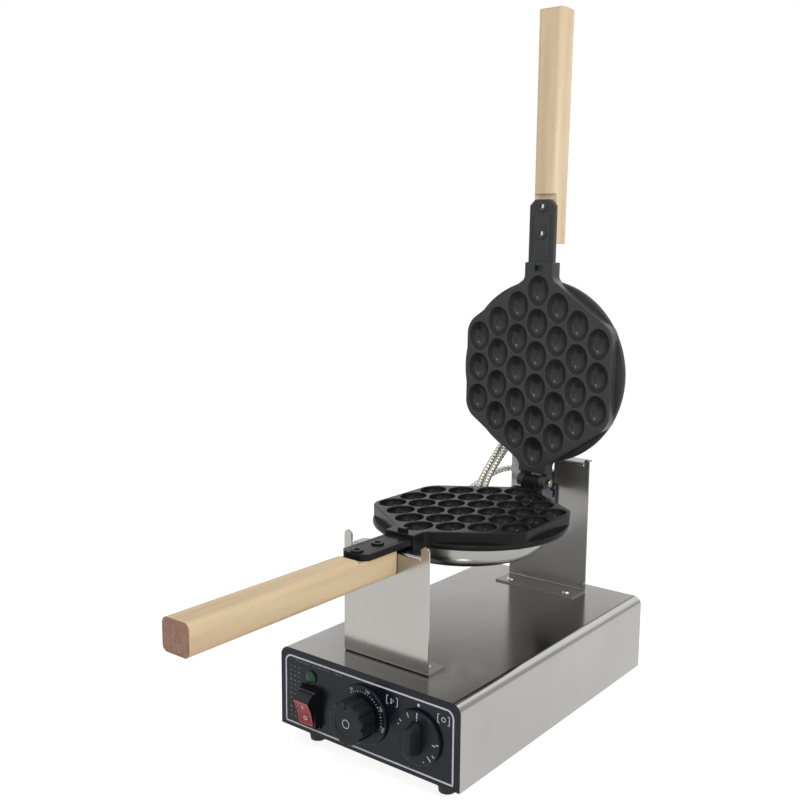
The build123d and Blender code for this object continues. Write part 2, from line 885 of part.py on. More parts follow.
def heater_clamp():
    """A bar across the element with a boss up to the casting, and its screw."""
    bar = block(
        -clamp_half_length, clamp_half_length, -clamp_half_width, clamp_half_width,
        -clamp_depth - clamp_thick, -clamp_depth,
    )
    bar += rod((0, 0, -mould_depth), (0, 0, -clamp_depth - 1), clamp_boss_radius)
    return bar - rod((0, 0, -mould_depth + 1), (0, 0, -dish_bottom), clamp_screw_radius)


def clamp_screw():
    seat = -clamp_depth - clamp_thick
    head = round_head((0, 0, seat), (0, 0, -1), clamp_screw_head_radius, clamp_screw_head_height)
    return head + rod((0, 0, seat), (0, 0, -mould_depth + clamp_screw_grip), clamp_screw_radius)


def make_plate_pieces():
    """The pieces that both plates carry, once on the lower and once on the upper."""
    mirrored = Plane.YZ
    for name, place in (("lower", lambda shape: lower_plate * shape), ("upper", open_up)):
        glands = [(twin_gland_angle, twin_shifts)]
        if name == "lower":
            glands.append((link_gland_angle, (0.0,)))
        cutters = [cutter for angle, shifts in glands for cutter in neck_cutters(angle, shifts)]
        fittings = [gland_solid(angle, shifts) for angle, shifts in glands]
        if name == "upper":
            cutters = [mirror(cutter, mirrored) for cutter in cutters]
            fittings = [mirror(fitting, mirrored) for fitting in fittings]
        save(f"{name}_dish_cover", place(dish_cover(cutters)))
        save(f"{name}_conduit_fittings", *[place(fitting) for fitting in fittings])
        save(f"{name}_dish_screws", *[place(screw) for screw in dish_screws()])
        save(f"{name}_heater", place(heater()))
        save(f"{name}_heater_clamp", place(heater_clamp()))
        save(f"{name}_clamp_screw", place(clamp_screw()))
        save(f"{name}_handle", place(handle()))
        save(f"{name}_handle_screws", *[place(screw) for screw in handle_screws()])


# Pivot: a block guided in the slot, with a bush for the shaft of the lower plate
def make_pivot():
    half = slot_width / 2 - slot_gap
    low = face_height - block_drop + slot_gap
    high = face_height + block_rise
    core = block(-half, half, block_front, block_back, low, high)
    lip_back = rear_bracket_y - block_lip_gap
    core += block(-block_lip_half, block_lip_half, block_front, lip_back, low, low + block_lip_rise)
    flange_front = block_back - block_flange_thick
    flange = block(-block_flange_half, block_flange_half, flange_front, block_back, low, high)
    core += fillet(flange.edges().filter_by(Axis.Y), block_corner)
    core -= rod((0, block_front - 1, face_height), (0, block_back + 1, face_height), bush_radius)
    screw_end = (0, block_back - clip_screw_grip, clip_screw_height)
    core -= rod(screw_end, (0, back, clip_screw_height), clip_screw_radius)
    save("pivot_block", core)

    bush = rod((0, block_front, face_height), (0, block_back, face_height), bush_radius)
    flange_start = block_front - bush_flange_thick
    bush += rod((0, flange_start, face_height), (0, block_front, face_height), bush_flange_radius)
    bore_radius = shaft_radius + shaft_gap
    bore = rod((0, flange_start - 1, face_height), (0, block_back + 1, face_height), bore_radius)
    save("pivot_bush", bush - bore)

    start = field_y + shaft_start
    washer_start = block_back + washer_gap
    nut_start = washer_start + washer_thick
    nut_end = nut_start + pivot_nut_length
    save("pivot_shaft", rod((0, start, face_height), (0, nut_end + shaft_tail, face_height), shaft_radius))
    shaft_hole = rod((0, start, face_height), (0, nut_end + 1, face_height), shaft_radius)
    washer = rod((0, washer_start, face_height), (0, nut_start, face_height), washer_radius)
    save("pivot_washer", washer - shaft_hole)
    ring = nut((0, nut_start, face_height), (0, nut_end, face_height), pivot_nut_across)
    save("pivot_nut", ring - shaft_hole)


# Conduits: corrugated tube on a smooth route, straight where it leaves a fitting
def on_lower(point):
    """A point of the plate frame, on the lower plate."""
    return Vector(point.X, point.Y + field_y, point.Z + face_height)


def on_upper(point):
    """The same point on the opened upper plate, on the same side of the appliance."""
    y = point.Y + field_y - hinge_y
    z = face_height + closed_gap - point.Z - hinge_z
    a = math.radians(open_angle)
    return Vector(
        point.X,
        hinge_y + y * math.cos(a) + z * math.sin(a),
        hinge_z - y * math.sin(a) + z * math.cos(a),
    )


def hose_route(start, start_dir, end, end_dir, through, start_run=2 * hose_radius, end_run=2 * hose_radius):
    """The middle line of a hose; both directions point the way it runs."""
    first = start + start_dir * start_run
    last = end - end_dir * end_run
    middle = Spline(first, *through, last, tangents=(start_dir, end_dir))
    return Wire([Line(start, first), middle, Line(last, end)])


def tube(route, stations):
    """A ruled skin over circles square to the route, each turned as little as it can be."""
    circles = []
    across = Vector(0.3, 0.2, 0.9)
    length = route.length
    for place, radius in stations:
        within = min(max(place, 0), length)
        tangent = route.tangent_at(within, PositionMode.LENGTH)
        point = route.position_at(within, PositionMode.LENGTH) + tangent * (place - within)
        across = (across - tangent * across.dot(tangent)).normalized()
        circles.append(Plane(origin=point, x_dir=across, z_dir=tangent) * Circle(radius))
    return loft(circles, ruled=True)


def hose(route):
    """A corrugated tube with its bore: four circles a rib, and a plain end each way."""
    length = route.length
    ribs = round((length - 2 * hose_radius) / rib_pitch)
    margin = (length - ribs * rib_pitch) / 2
    groove = hose_radius - hose_groove
    outer = [(0, groove)]
    inner = [(-1, hose_bore)]
    for i in range(ribs):
        place = margin + i * rib_pitch
        outer.append((place + 0.05 * rib_pitch, groove))
        outer.append((place + 0.30 * rib_pitch, hose_radius))
        outer.append((place + 0.70 * rib_pitch, hose_radius))
        outer.append((place + 0.95 * rib_pitch, groove))
        inner.append((place, hose_bore))
    outer.append((length, groove))
    inner.append((length + 1, hose_bore))
    print("hose length", round(length, 1), "ribs", ribs)
    return tube(route, outer) - tube(route, inner)


clip_point = Vector(clip_x, clip_y, face_height + clip_rise)
clip_dir = Vector(-math.cos(math.radians(clip_slope)), 0, math.sin(math.radians(clip_slope)))


def make_conduits():
    """Two strands between the dishes, and the feed from the base to the lower dish."""
    out = radial(twin_gland_angle, 1, 0)
    run = hose_free_from - collar_end(twin_gland_angle)
    for name, shift in zip(("left", "right"), twin_shifts[::-1]):
        leaves = radial(twin_gland_angle, collar_end(twin_gland_angle), gland_depth, shift)
        start = on_upper(leaves)
        start_dir = on_upper(leaves + out) - start
        middle = [Vector(x - shift, y, z) for x, y, z in twin_route]
        route = hose_route(start, start_dir, on_lower(leaves), out * -1, middle, run, run)
        save(f"conduit_{name}", hose(route))

    base_start = Vector(base_gland_x, base_gland_y, base_top + base_gland_height)
    clip_low = clip_point - clip_dir * (clip_height / 2)
    clip_high = clip_point + clip_dir * (clip_height / 2)
    feed = hose_route(base_start, Vector(0, 0, 1), clip_low, clip_dir, [Vector(*p) for p in feed_route])
    save("conduit_feed", hose(feed))
    link_out = radial(link_gland_angle, 1, 0)
    end = on_lower(radial(link_gland_angle, collar_end(link_gland_angle), gland_depth))
    run = hose_free_from - collar_end(link_gland_angle)
    middle = [Vector(*p) for p in link_route]
    link = hose_route(clip_high, clip_dir, end, link_out * -1, middle, end_run=run)
    save("conduit_link", hose(link))


def make_base_gland():
    x = base_gland_x
    y = base_gland_y
    low = base_top - sheet - gland_neck_drop
    high = base_top + base_gland_height
    gland = nut((x, y, base_top), (x, y, high), 2 * (hose_radius + gland_wall))
    gland += rod((x, y, low), (x, y, base_top), hose_bore + gland_neck_wall)
    gland -= rod((x, y, low - 1), (x, y, high + 1), hose_bore)
    save("base_conduit_gland", gland)


def make_hose_clip():
    """A ring round the joint of feed and link, on an arm screwed to the pivot block."""
    reach = clip_dir * (clip_height / 2)
    ring = rod((clip_point - reach).to_tuple(), (clip_point + reach).to_tuple(), hose_radius + clip_wall)
    low = clip_screw_height - clip_arm_height / 2
    high = clip_screw_height + clip_arm_height / 2
    seat = clip_y - hose_radius
    arm = block(clip_x, clip_arm_end, block_back, seat, low, high)
    clip = arm + ring
    clip -= rod((clip_point - reach * 4).to_tuple(), (clip_point + reach * 4).to_tuple(), hose_bore)
    clip -= rod((0, block_back - 1, clip_screw_height), (0, clip_y, clip_screw_height), clip_screw_radius)
    save("hose_clip", clip)
    screw = round_head((0, seat, clip_screw_height), (0, 1, 0), 2 * clip_screw_radius, clip_screw_radius)
    start = (0, block_back - clip_screw_grip, clip_screw_height)
    screw += rod(start, (0, seat, clip_screw_height), clip_screw_radius)
    save("hose_clip_screw", screw)


# Power switch: a housing snapped into the panel and a rocker on two stub pins
def make_switch():
    pivot_y = front - rocker_pivot_depth
    half_w = bezel_width / 2
    half_h = bezel_height / 2
    housing = block(
        switch_x - switch_flange_width / 2, switch_x + switch_flange_width / 2,
        front - switch_flange_thick, front,
        switch_height - switch_flange_height / 2, switch_height + switch_flange_height / 2,
    )
    housing += block(
        switch_x - half_w, switch_x + half_w, front - bezel_front, front - 1,
        switch_height - half_h, switch_height + half_h,
    )
    body_w = half_w - 2 * rocker_gap
    housing += block(
        switch_x - body_w, switch_x + body_w, front - 1, front + switch_body_depth,
        switch_height - switch_body_height / 2, switch_height + switch_body_height / 2,
    )
    hollow_w = rocker_width / 2 + rocker_gap
    hollow = extrude(Plane(origin=(switch_x, pivot_y, switch_height), z_dir=(1, 0, 0))
                     * Circle(rocker_radius + rocker_gap), hollow_w, both=True)
    well = block(
        switch_x - hollow_w, switch_x + hollow_w, front - bezel_front - 1, pivot_y + rocker_back * 2,
        switch_height - bezel_height, switch_height + bezel_height,
    )
    housing -= hollow & well
    pin_reach = rocker_width / 2 + rocker_pin_length
    pin_hole = rod(
        (switch_x - pin_reach - rocker_gap, pivot_y, switch_height),
        (switch_x + pin_reach + rocker_gap, pivot_y, switch_height),
        rocker_pin_radius + pin_gap,
    )
    save("switch_housing", housing - pin_hole)

    face = math.sqrt(rocker_radius**2 - rocker_half_face**2)
    tall = 2 * rocker_radius
    edge = Polyline(
        (rocker_back, -tall), (-face, -tall), (-face, -rocker_half_face), (rocker_dish - face, 0),
        (-face, rocker_half_face), (-face, tall), (rocker_back, tall), close=True,
    )
    section = Circle(rocker_radius) & make_face(edge)
    rocker = extrude(Plane.YZ * section, rocker_width / 2, both=True)
    rocker += rod((-pin_reach, 0, 0), (pin_reach, 0, 0), rocker_pin_radius)
    save("switch_rocker", Pos(switch_x, pivot_y, switch_height) * Rot(rocker_tilt, 0, 0) * rocker)


def make_lamp():
    x = lamp_x
    height = foot_height + lamp_z
    body = rod((x, front - lamp_bezel_front, height), (x, front, height), lamp_bezel_radius)
    body += rod((x, front - 1, height), (x, front + lamp_body_length, height), lamp_hole_radius)
    lens_seat = lamp_bezel_front / 2
    body -= rod((x, front - lamp_front, height), (x, front - lens_seat, height), lamp_radius)
    save("lamp_body", body)
    lens_place = (x, front - lens_seat, height)
    save("lamp_lens", round_head(lens_place, (0, -1, 0), lamp_radius, lamp_front - lens_seat))


# Thermostat and timer: a body behind the panel, a turning shaft, a dial and a knob
def control_body(x, height):
    """A round body held behind the front panel, bored for its shaft."""
    start = panel_front + sheet
    body = rod((x, start, height), (x, start + control_body_depth, height), control_body_radius)
    end = start + control_shaft_in_body + control_gap
    return body - rod((x, start - 1, height), (x, end, height), control_shaft_radius + control_shaft_gap)


def control_shaft(x, height, dial_front):
    end = panel_front + sheet + control_shaft_in_body
    return rod((x, front - dial_front - control_grip, height), (x, end, height), control_shaft_radius)


def dial(x, height, radius, dial_front):
    disc = rod((x, front - dial_front, height), (x, front - control_gap, height), radius)
    rim = disc.edges().group_by(Axis.Y)[0]
    disc = fillet(rim, min(knob_edge, dial_front / 3))
    return disc - rod((x, front - dial_front - 1, height), (x, front, height), control_shaft_radius)


def make_thermostat():
    x = thermostat_x
    height = foot_height + thermostat_z
    save("thermostat_body", control_body(x, height))
    save("thermostat_shaft", control_shaft(x, height, thermostat_dial_front))
    save("thermostat_dial", dial(x, height, thermostat_dial_radius, thermostat_dial_front))
    face = front - thermostat_knob_front
    knob = rod((x, face, height), (x, front - thermostat_knob_back, height), thermostat_knob_radius)
    edges = knob.edges().group_by(Axis.Y)[0]
    knob = fillet(edges, knob_edge)
    reach = thermostat_knob_radius + knob_scallop_out
    for i in range(knob_scallops):
        a = 2 * math.pi * i / knob_scallops
        sx = x + reach * math.sin(a)
        sz = height + reach * math.cos(a)
        knob -= rod((sx, face - 1, sz), (sx, front, sz), knob_scallop_radius)
    knob += rod((x, front - thermostat_knob_back - 1, height), (x, front - thermostat_dial_front, height),
                thermostat_hub_radius)
    shaft_end = front - thermostat_dial_front - control_grip
    knob -= rod((x, shaft_end, height), (x, front, height), control_shaft_radius)
    save("thermostat_knob", knob)


def make_timer():
    x = timer_x
    height = foot_height + timer_z
    save("timer_body", control_body(x, height))
    save("timer_shaft", control_shaft(x, height, timer_dial_front))
    save("timer_dial", dial(x, height, timer_dial_radius, timer_dial_front))
    start = front - timer_dial_front
    base = Plane(origin=(x, start, height), x_dir=(1, 0, 0), z_dir=(0, -1, 0))
    outline = SlotOverall(timer_grip_length, timer_grip_width, rotation=90)
    grip = extrude(base * outline, timer_grip_front - timer_dial_front, taper=timer_grip_taper)
    grip = fillet(grip.edges().group_by(Axis.Y)[0], knob_edge / 2)
    grip -= rod((x, start - control_grip, height), (x, start + 1, height), control_shaft_radius)
    save("timer_knob", grip)


def make_lead_gland():
    """The gland of the supply lead; the lead itself isn't shown."""
    x = lead_gland_x
    z = foot_height + lead_gland_z
    outside = back - rear_recess
    inside = outside - sheet
    tip = outside + lead_gland_length
    neck_end = inside - lead_gland_inside
    gland = nut((x, outside, z), (x, tip, z), 2 * lead_gland_radius)
    gland += rod((x, neck_end, z), (x, outside, z), lead_neck_radius)
    gland -= rod((x, neck_end - 1, z), (x, tip + 1, z), lead_bore_radius)
    save("lead_gland", gland)
    ring = nut((x, inside, z), (x, inside - lead_gland_inside / 2, z), 2 * lead_gland_radius)
    save("lead_gland_nut", ring - rod((x, inside + 1, z), (x, neck_end, z), lead_neck_radius))


def make_terminal_block():
    low = floor_plate + sheet
    body = block(
        terminal_x - terminal_width / 2, terminal_x + terminal_width / 2,
        terminal_y - terminal_depth / 2, terminal_y + terminal_depth / 2, low, low + terminal_height,
    )
    pitch = terminal_width / terminal_ways
    top = low + terminal_height
    for i in range(terminal_ways):
        x = terminal_x + (i - (terminal_ways - 1) / 2) * pitch
        hole_end = (x, terminal_y, top - terminal_hole_depth)
        body -= rod(hole_end, (x, terminal_y, top + 1), terminal_hole_radius)
    save("terminal_block", body)


make_base_shell()
make_front_panel()
make_control_fascia()
make_rear_panel()
make_bottom_plate()
make_housing_screws()
make_feet()
make_front_bracket()
make_rear_bracket()
make_bracket_screws()
make_lower_mould()
make_upper_mould()
make_hinge_pin()
make_plate_pieces()
make_pivot()
make_base_gland()
make_hose_clip()
make_conduits()
make_switch()
make_lamp()
make_thermostat()
make_timer()
make_lead_gland()
make_terminal_block()
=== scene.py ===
import bpy
import bmesh
import math
from mathutils import Matrix, Vector


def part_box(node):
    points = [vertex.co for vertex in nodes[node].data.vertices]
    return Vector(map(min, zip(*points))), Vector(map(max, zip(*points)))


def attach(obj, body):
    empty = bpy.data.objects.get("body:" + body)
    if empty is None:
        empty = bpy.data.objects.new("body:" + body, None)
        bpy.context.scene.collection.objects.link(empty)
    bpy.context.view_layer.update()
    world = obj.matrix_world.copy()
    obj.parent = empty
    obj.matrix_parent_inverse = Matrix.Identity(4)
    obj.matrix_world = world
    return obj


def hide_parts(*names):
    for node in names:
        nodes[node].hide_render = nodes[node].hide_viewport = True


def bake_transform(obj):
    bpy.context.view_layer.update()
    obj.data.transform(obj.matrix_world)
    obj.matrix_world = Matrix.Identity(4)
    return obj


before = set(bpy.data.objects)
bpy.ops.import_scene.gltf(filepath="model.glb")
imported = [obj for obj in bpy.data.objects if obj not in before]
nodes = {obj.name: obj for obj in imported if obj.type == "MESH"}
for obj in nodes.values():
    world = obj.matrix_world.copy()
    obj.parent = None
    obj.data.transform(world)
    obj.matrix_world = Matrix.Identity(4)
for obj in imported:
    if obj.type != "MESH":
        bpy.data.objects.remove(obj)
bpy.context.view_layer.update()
bpy.context.scene.view_settings.view_transform = "Standard"
print("frame loaded:", len(nodes), "nodes")


# Camera at the photograph's place: turn round the object, tilt and roll in degrees
cameraSet = {"place": (0.64153, -0.95487, 0.54632), "turn": 38.26, "tilt": 8.84, "roll": 0.41, "lens": 46.02}


def makeCamera():
    bpy.ops.object.camera_add(location=cameraSet["place"])
    cam = bpy.context.object
    turn = Matrix.Rotation(math.radians(cameraSet["turn"]), 4, "Z")
    tilt = Matrix.Rotation(math.radians(90 - cameraSet["tilt"]), 4, "X")
    roll = Matrix.Rotation(math.radians(cameraSet["roll"]), 4, "Z")
    cam.matrix_world = Matrix.Translation(cameraSet["place"]) @ turn @ tilt @ roll
    cam.data.sensor_width = 36
    cam.data.lens = cameraSet["lens"]
    bpy.context.scene.camera = cam


makeCamera()


# Small tools for modelling
def deselect():
    bpy.ops.object.select_all(action="DESELECT")


def pick(obj):
    deselect()
    obj.select_set(True)
    bpy.context.view_layer.objects.active = obj


def newObject(name, mesh):
    obj = bpy.data.objects.new(name, mesh)
    bpy.context.scene.collection.objects.link(obj)
    return obj


def settle(obj, name):
    # Gives an object its name and moves its place into its mesh
    pick(obj)
    bpy.ops.object.transform_apply(location=True, rotation=True, scale=True)
    obj.name = name
    return obj


def applyModifier(obj, kind, **values):
    pick(obj)
    bpy.ops.object.modifier_add(type=kind)
    modifier = obj.modifiers[-1]
    for key, value in values.items():
        setattr(modifier, key, value)
    bpy.ops.object.modifier_apply(modifier=modifier.name)
    return obj


def roundEdges(obj, width, segments=3, angle=35):
    return applyModifier(obj, "BEVEL", width=width, segments=segments, angle_limit=math.radians(angle))


def addBox(name, low, high, edge=0.0, segments=3):
    deselect()
    middle = [(a + b) / 2 for a, b in zip(low, high)]
    bpy.ops.mesh.primitive_cube_add(size=1, location=middle)
    obj = bpy.context.object
    obj.scale = [b - a for a, b in zip(low, high)]
    settle(obj, name)
    return roundEdges(obj, edge, segments) if edge else obj


def addRod(name, start, end, radius, edge=0.0, sides=48):
    # A round bar, or a many-sided one, from one point to another
    deselect()
    line = Vector(end) - Vector(start)
    bpy.ops.mesh.primitive_cylinder_add(vertices=sides, radius=radius, depth=line.length)
    obj = bpy.context.object
    obj.rotation_mode = "QUATERNION"
    obj.rotation_quaternion = line.to_track_quat("Z", "Y")
    obj.location = (Vector(start) + Vector(end)) / 2
    settle(obj, name)
    return roundEdges(obj, edge, 3, 60) if edge else obj


def editAll(obj):
    pick(obj)
    bpy.ops.object.mode_set(mode="EDIT")
    bpy.ops.mesh.select_all(action="SELECT")


def objectMode():
    bpy.ops.object.mode_set(mode="OBJECT")


def lathe(name, profile, steps=64, stretch=(1, 1, 1)):
    # Spins a profile of (radius, height) points round Z; it starts and ends on the axis
    mesh = bpy.data.meshes.new(name)
    points = [(r, 0, z) for r, z in profile]
    mesh.from_pydata(points, [(i, i + 1) for i in range(len(points) - 1)], [])
    obj = newObject(name, mesh)
    editAll(obj)
    bpy.ops.mesh.spin(steps=steps, angle=2 * math.pi, center=(0, 0, 0), axis=(0, 0, 1))
    bpy.ops.mesh.select_all(action="SELECT")
    bpy.ops.mesh.remove_doubles(threshold=0.000002)
    bpy.ops.mesh.normals_make_consistent(inside=False)
    objectMode()
    obj.scale = stretch
    return settle(obj, name)


def raised(name, outline, low, high):
    # A flat outline of (x, y) points, extruded from one height to another
    mesh = bpy.data.meshes.new(name)
    mesh.from_pydata([(x, y, low) for x, y in outline], [], [range(len(outline))])
    obj = newObject(name, mesh)
    editAll(obj)
    bpy.ops.mesh.extrude_region_move(TRANSFORM_OT_translate={"value": (0, 0, high - low)})
    bpy.ops.mesh.select_all(action="SELECT")
    bpy.ops.mesh.normals_make_consistent(inside=False)
    objectMode()
    return obj


def bevelUpright(obj, corner, offset, segments):
    # Bevels the upright edges that stand at (x, y) or at its mirror places
    pick(obj)
    bpy.ops.object.mode_set(mode="EDIT")
    bpy.ops.mesh.select_mode(type="EDGE")
    bpy.ops.mesh.select_all(action="DESELECT")
    work = bmesh.from_edit_mesh(obj.data)
    near = 0.0001
    for edge in work.edges:
        a, b = (v.co for v in edge.verts)
        upright = (a.xy - b.xy).length < near
        edge.select_set(upright and abs(abs(a.x) - corner[0]) < near and abs(abs(a.y) - corner[1]) < near)
    bmesh.update_edit_mesh(obj.data)
    bpy.ops.mesh.bevel(offset=offset, segments=segments, affect="EDGES")
    objectMode()
    return obj


def boolean(target, other, operation):
    applyModifier(target, "BOOLEAN", operation=operation, object=other, solver="EXACT")
    bpy.data.objects.remove(other)
    return target


def bisect(obj, point, normal):
    # Cuts away what lies beyond a plane and closes the cut
    editAll(obj)
    bpy.ops.mesh.bisect(plane_co=point, plane_no=normal, use_fill=True, clear_outer=True)
    objectMode()
    return obj


def join(name, objects):
    deselect()
    for obj in objects:
        obj.select_set(True)
    bpy.context.view_layer.objects.active = objects[0]
    if len(objects) > 1:
        bpy.ops.object.join()
    objects[0].name = name
    return objects[0]


def copyOf(obj, name, place):
    # A copy with its own mesh, placed by a matrix
    twin = newObject(name, obj.data.copy())
    twin.data.transform(place)
    return twin


def smooth(obj, angle=35, weighted=True):
    pick(obj)
    bpy.ops.object.shade_smooth_by_angle(angle=math.radians(angle))
    if weighted:
        applyModifier(obj, "WEIGHTED_NORMAL", keep_sharp=True)
    return obj


def dress(obj, material, slot, body, *replaced):
    # Gives a finished piece its material and the body it rides on; its slot argument is not used
    obj.data.materials.clear()
    obj.data.materials.append(material)
    if body:
        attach(obj, body)
    if replaced:
        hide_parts(*replaced)
    return obj


# Shader groups shared by several materials
def newGroup(name, inputs, outputs):
    group = bpy.data.node_groups.new(name, "ShaderNodeTree")
    for label, kind, value in inputs:
        socket = group.interface.new_socket(name=label, in_out="INPUT", socket_type=kind)
        socket.default_value = value
    for label, kind in outputs:
        group.interface.new_socket(name=label, in_out="OUTPUT", socket_type=kind)
    start = group.nodes.new("NodeGroupInput")
    end = group.nodes.new("NodeGroupOutput")
    return group, start, end


def addNode(tree, kind, **values):
    # A node with its properties, and its sockets set by name
    node = tree.nodes.new(kind)
    for key, value in values.items():
        if key in node.inputs:
            node.inputs[key].default_value = value
        else:
            setattr(node, key, value)
    return node


def ramp(tree, source, low, high, lowOut=0.0, highOut=1.0):
    # Maps a value between two limits onto another range
    node = tree.nodes.new("ShaderNodeMapRange")
    for index, value in zip((1, 2, 3, 4), (low, high, lowOut, highOut)):
        node.inputs[index].default_value = value
    tree.links.new(source, node.inputs[0])
    return node.outputs[0]


def makeStretchedNoise():
    # Noise on the piece's own coordinates, stretched by a scale for each direction
    group, start, end = newGroup(
        "stretchedNoise",
        [("Stretch", "NodeSocketVector", (1, 1, 1)), ("Detail", "NodeSocketFloat", 3.0)],
        [("Value", "NodeSocketFloat")],
    )
    place = addNode(group, "ShaderNodeTexCoord")
    scaled = addNode(group, "ShaderNodeVectorMath", operation="MULTIPLY")
    noise = addNode(group, "ShaderNodeTexNoise", Scale=1.0, Roughness=0.55)
    group.links.new(place.outputs["Object"], scaled.inputs[0])
    group.links.new(start.outputs["Stretch"], scaled.inputs[1])
    group.links.new(scaled.outputs[0], noise.inputs["Vector"])
    group.links.new(start.outputs["Detail"], noise.inputs["Detail"])
    group.links.new(noise.outputs["Fac"], end.inputs["Value"])
    return group


stretchedNoise = makeStretchedNoise()


def noiseIn(tree, stretch, detail=3.0):
    node = tree.nodes.new("ShaderNodeGroup")
    node.node_tree = stretchedNoise
    node.inputs["Stretch"].default_value = stretch
    node.inputs["Detail"].default_value = detail
    return node.outputs["Value"]


def placeAlong(tree, axis):
    # One of the piece's own coordinates, in metres
    coordinates = tree.nodes.new("ShaderNodeTexCoord")
    split = tree.nodes.new("ShaderNodeSeparateXYZ")
    tree.links.new(coordinates.outputs["Object"], split.inputs[0])
    return split.outputs[axis]


def startMaterial(name, colour, roughness, metallic=0.0, **sockets):
    material = bpy.data.materials.new(name)
    material.use_nodes = True
    tree = material.node_tree
    shader = tree.nodes["Principled BSDF"]
    shader.inputs["Base Color"].default_value = (*colour, 1)
    shader.inputs["Roughness"].default_value = roughness
    shader.inputs["Metallic"].default_value = metallic
    for key, value in sockets.items():
        shader.inputs[key.replace("_", " ")].default_value = value
    return material, tree, shader


def mixColours(tree, factor, first, second):
    # First and second are colours, or outputs of other nodes
    node = tree.nodes.new("ShaderNodeMix")
    node.data_type = "RGBA"
    tree.links.new(factor, node.inputs[0])
    for index, colour in ((6, first), (7, second)):
        if isinstance(colour, tuple):
            node.inputs[index].default_value = (*colour, 1)
        else:
            tree.links.new(colour, node.inputs[index])
    return node.outputs[2]


def addBump(tree, shader, height, distance):
    bump = addNode(tree, "ShaderNodeBump", Strength=1.0, Distance=distance)
    tree.links.new(height, bump.inputs["Height"])
    tree.links.new(bump.outputs[0], shader.inputs["Normal"])


# How fine the clouds of tone are on each kind of surface
cloudSet = {"metal": (9, 9, 9), "solid": (22, 22, 22)}


def grainyMetal(name, colour, dark, lines, rough, bump=0.0, metallic=1.0):
    # Metal with fine lines or grain: their stretch, two tones, and a range of roughness
    material, tree, shader = startMaterial(name, colour, rough[0], metallic)
    grain = noiseIn(tree, lines, 4.0)
    cloud = noiseIn(tree, cloudSet["metal"], 2.0)
    tree.links.new(ramp(tree, grain, 0.3, 0.7, *rough), shader.inputs["Roughness"])
    tree.links.new(mixColours(tree, ramp(tree, cloud, 0.35, 0.7), colour, dark), shader.inputs["Base Color"])
    if bump:
        addBump(tree, shader, grain, bump)
    return material


def mattSolid(name, colour, dark, grainScale, rough, bump, **sockets):
    # Plastic, rubber or a coating: a fine even texture, faint clouds of tone
    material, tree, shader = startMaterial(name, colour, rough[0], 0.0, **sockets)
    grain = noiseIn(tree, (grainScale,) * 3, 2.0)
    cloud = noiseIn(tree, cloudSet["solid"], 3.0)
    tree.links.new(ramp(tree, cloud, 0.3, 0.7, *rough), shader.inputs["Roughness"])
    tree.links.new(mixColours(tree, ramp(tree, cloud, 0.3, 0.75), colour, dark), shader.inputs["Base Color"])
    addBump(tree, shader, grain, bump)
    return material


woodSet = {"pale": (0.72, 0.575, 0.385), "tan": (0.60, 0.455, 0.285), "fleck": (0.42, 0.29, 0.165),
           # paleShaded and tanShaded: a darker copy of the same beech for the lower handle, painted shade
           "paleShaded": (0.62, 0.475, 0.295), "tanShaded": (0.515, 0.375, 0.22),
           # innerShadow: a painted shadow on the inner end, where the wood meets the tongue
           "endGrain": (0.33, 0.178, 0.11), "endRing": (0.24, 0.12, 0.07), "innerShadow": (0.20, 0.10, 0.055),
           "faceDepth": 0.0006, "bump": 0.00008,
           "bands": (3.5, 55), "fibres": (30, 900), "flecks": (140, 1100), "rings": (1, 260)}


def woodMaterial(name, along, ends, pale, tan):
    # Pale beech: long soft bands, short dark flecks and fine fibres along one axis, darker end grain on its
    # outer end and a thin painted shadow on its inner end, where it meets the tongue
    material, tree, shader = startMaterial(name, woodSet[pale], 0.5)

    def grainIn(kind, detail):
        slow, fast = woodSet[kind]
        return noiseIn(tree, tuple(slow if axis == along else fast for axis in range(3)), detail)

    bands = grainIn("bands", 2.5)
    fibres = grainIn("fibres", 3.0)
    flecks = grainIn("flecks", 1.0)
    rings = grainIn("rings", 2.0)
    base = mixColours(tree, ramp(tree, bands, 0.35, 0.68), woodSet[pale], woodSet[tan])
    spotted = mixColours(tree, ramp(tree, flecks, 0.64, 0.72, 0.0, 0.4), base, woodSet["fleck"])
    endTone = mixColours(tree, ramp(tree, rings, 0.35, 0.65), woodSet["endGrain"], woodSet["endRing"])
    place = placeAlong(tree, along)
    outer, inner = ends
    depth = math.copysign(woodSet["faceDepth"], outer - inner)
    outerFace = ramp(tree, place, outer - depth, outer - depth * 0.3)
    innerFace = ramp(tree, place, inner + depth, inner + depth * 0.3)
    capped = mixColours(tree, outerFace, spotted, endTone)
    # The thin dark band on the inner end is a painted shadow where the wood meets the tongue
    tree.links.new(mixColours(tree, innerFace, capped, woodSet["innerShadow"]), shader.inputs["Base Color"])
    tree.links.new(ramp(tree, fibres, 0.3, 0.7, 0.42, 0.58), shader.inputs["Roughness"])
    addBump(tree, shader, fibres, woodSet["bump"])
    return material


steel = grainyMetal("brushedStainless", (0.39, 0.381, 0.365), (0.356, 0.347, 0.333),
                    (5, 600, 600), (0.14, 0.18))
steelUp = grainyMetal("brushedUpright", (0.43, 0.415, 0.392), (0.40, 0.386, 0.362),
                      (600, 600, 5), (0.16, 0.21))
# A darker copy of the brushed stainless for the rear bracket: painted shade and painted dark reflection
steelRearShaded = grainyMetal("brushedRearShaded", (0.30, 0.294, 0.283), (0.27, 0.265, 0.256),
                        (600, 600, 5), (0.16, 0.21), metallic=0.7)
steelDish = grainyMetal("spunStainless", (0.34, 0.332, 0.315), (0.30, 0.293, 0.278),
                        (160, 160, 2400), (0.2, 0.27))
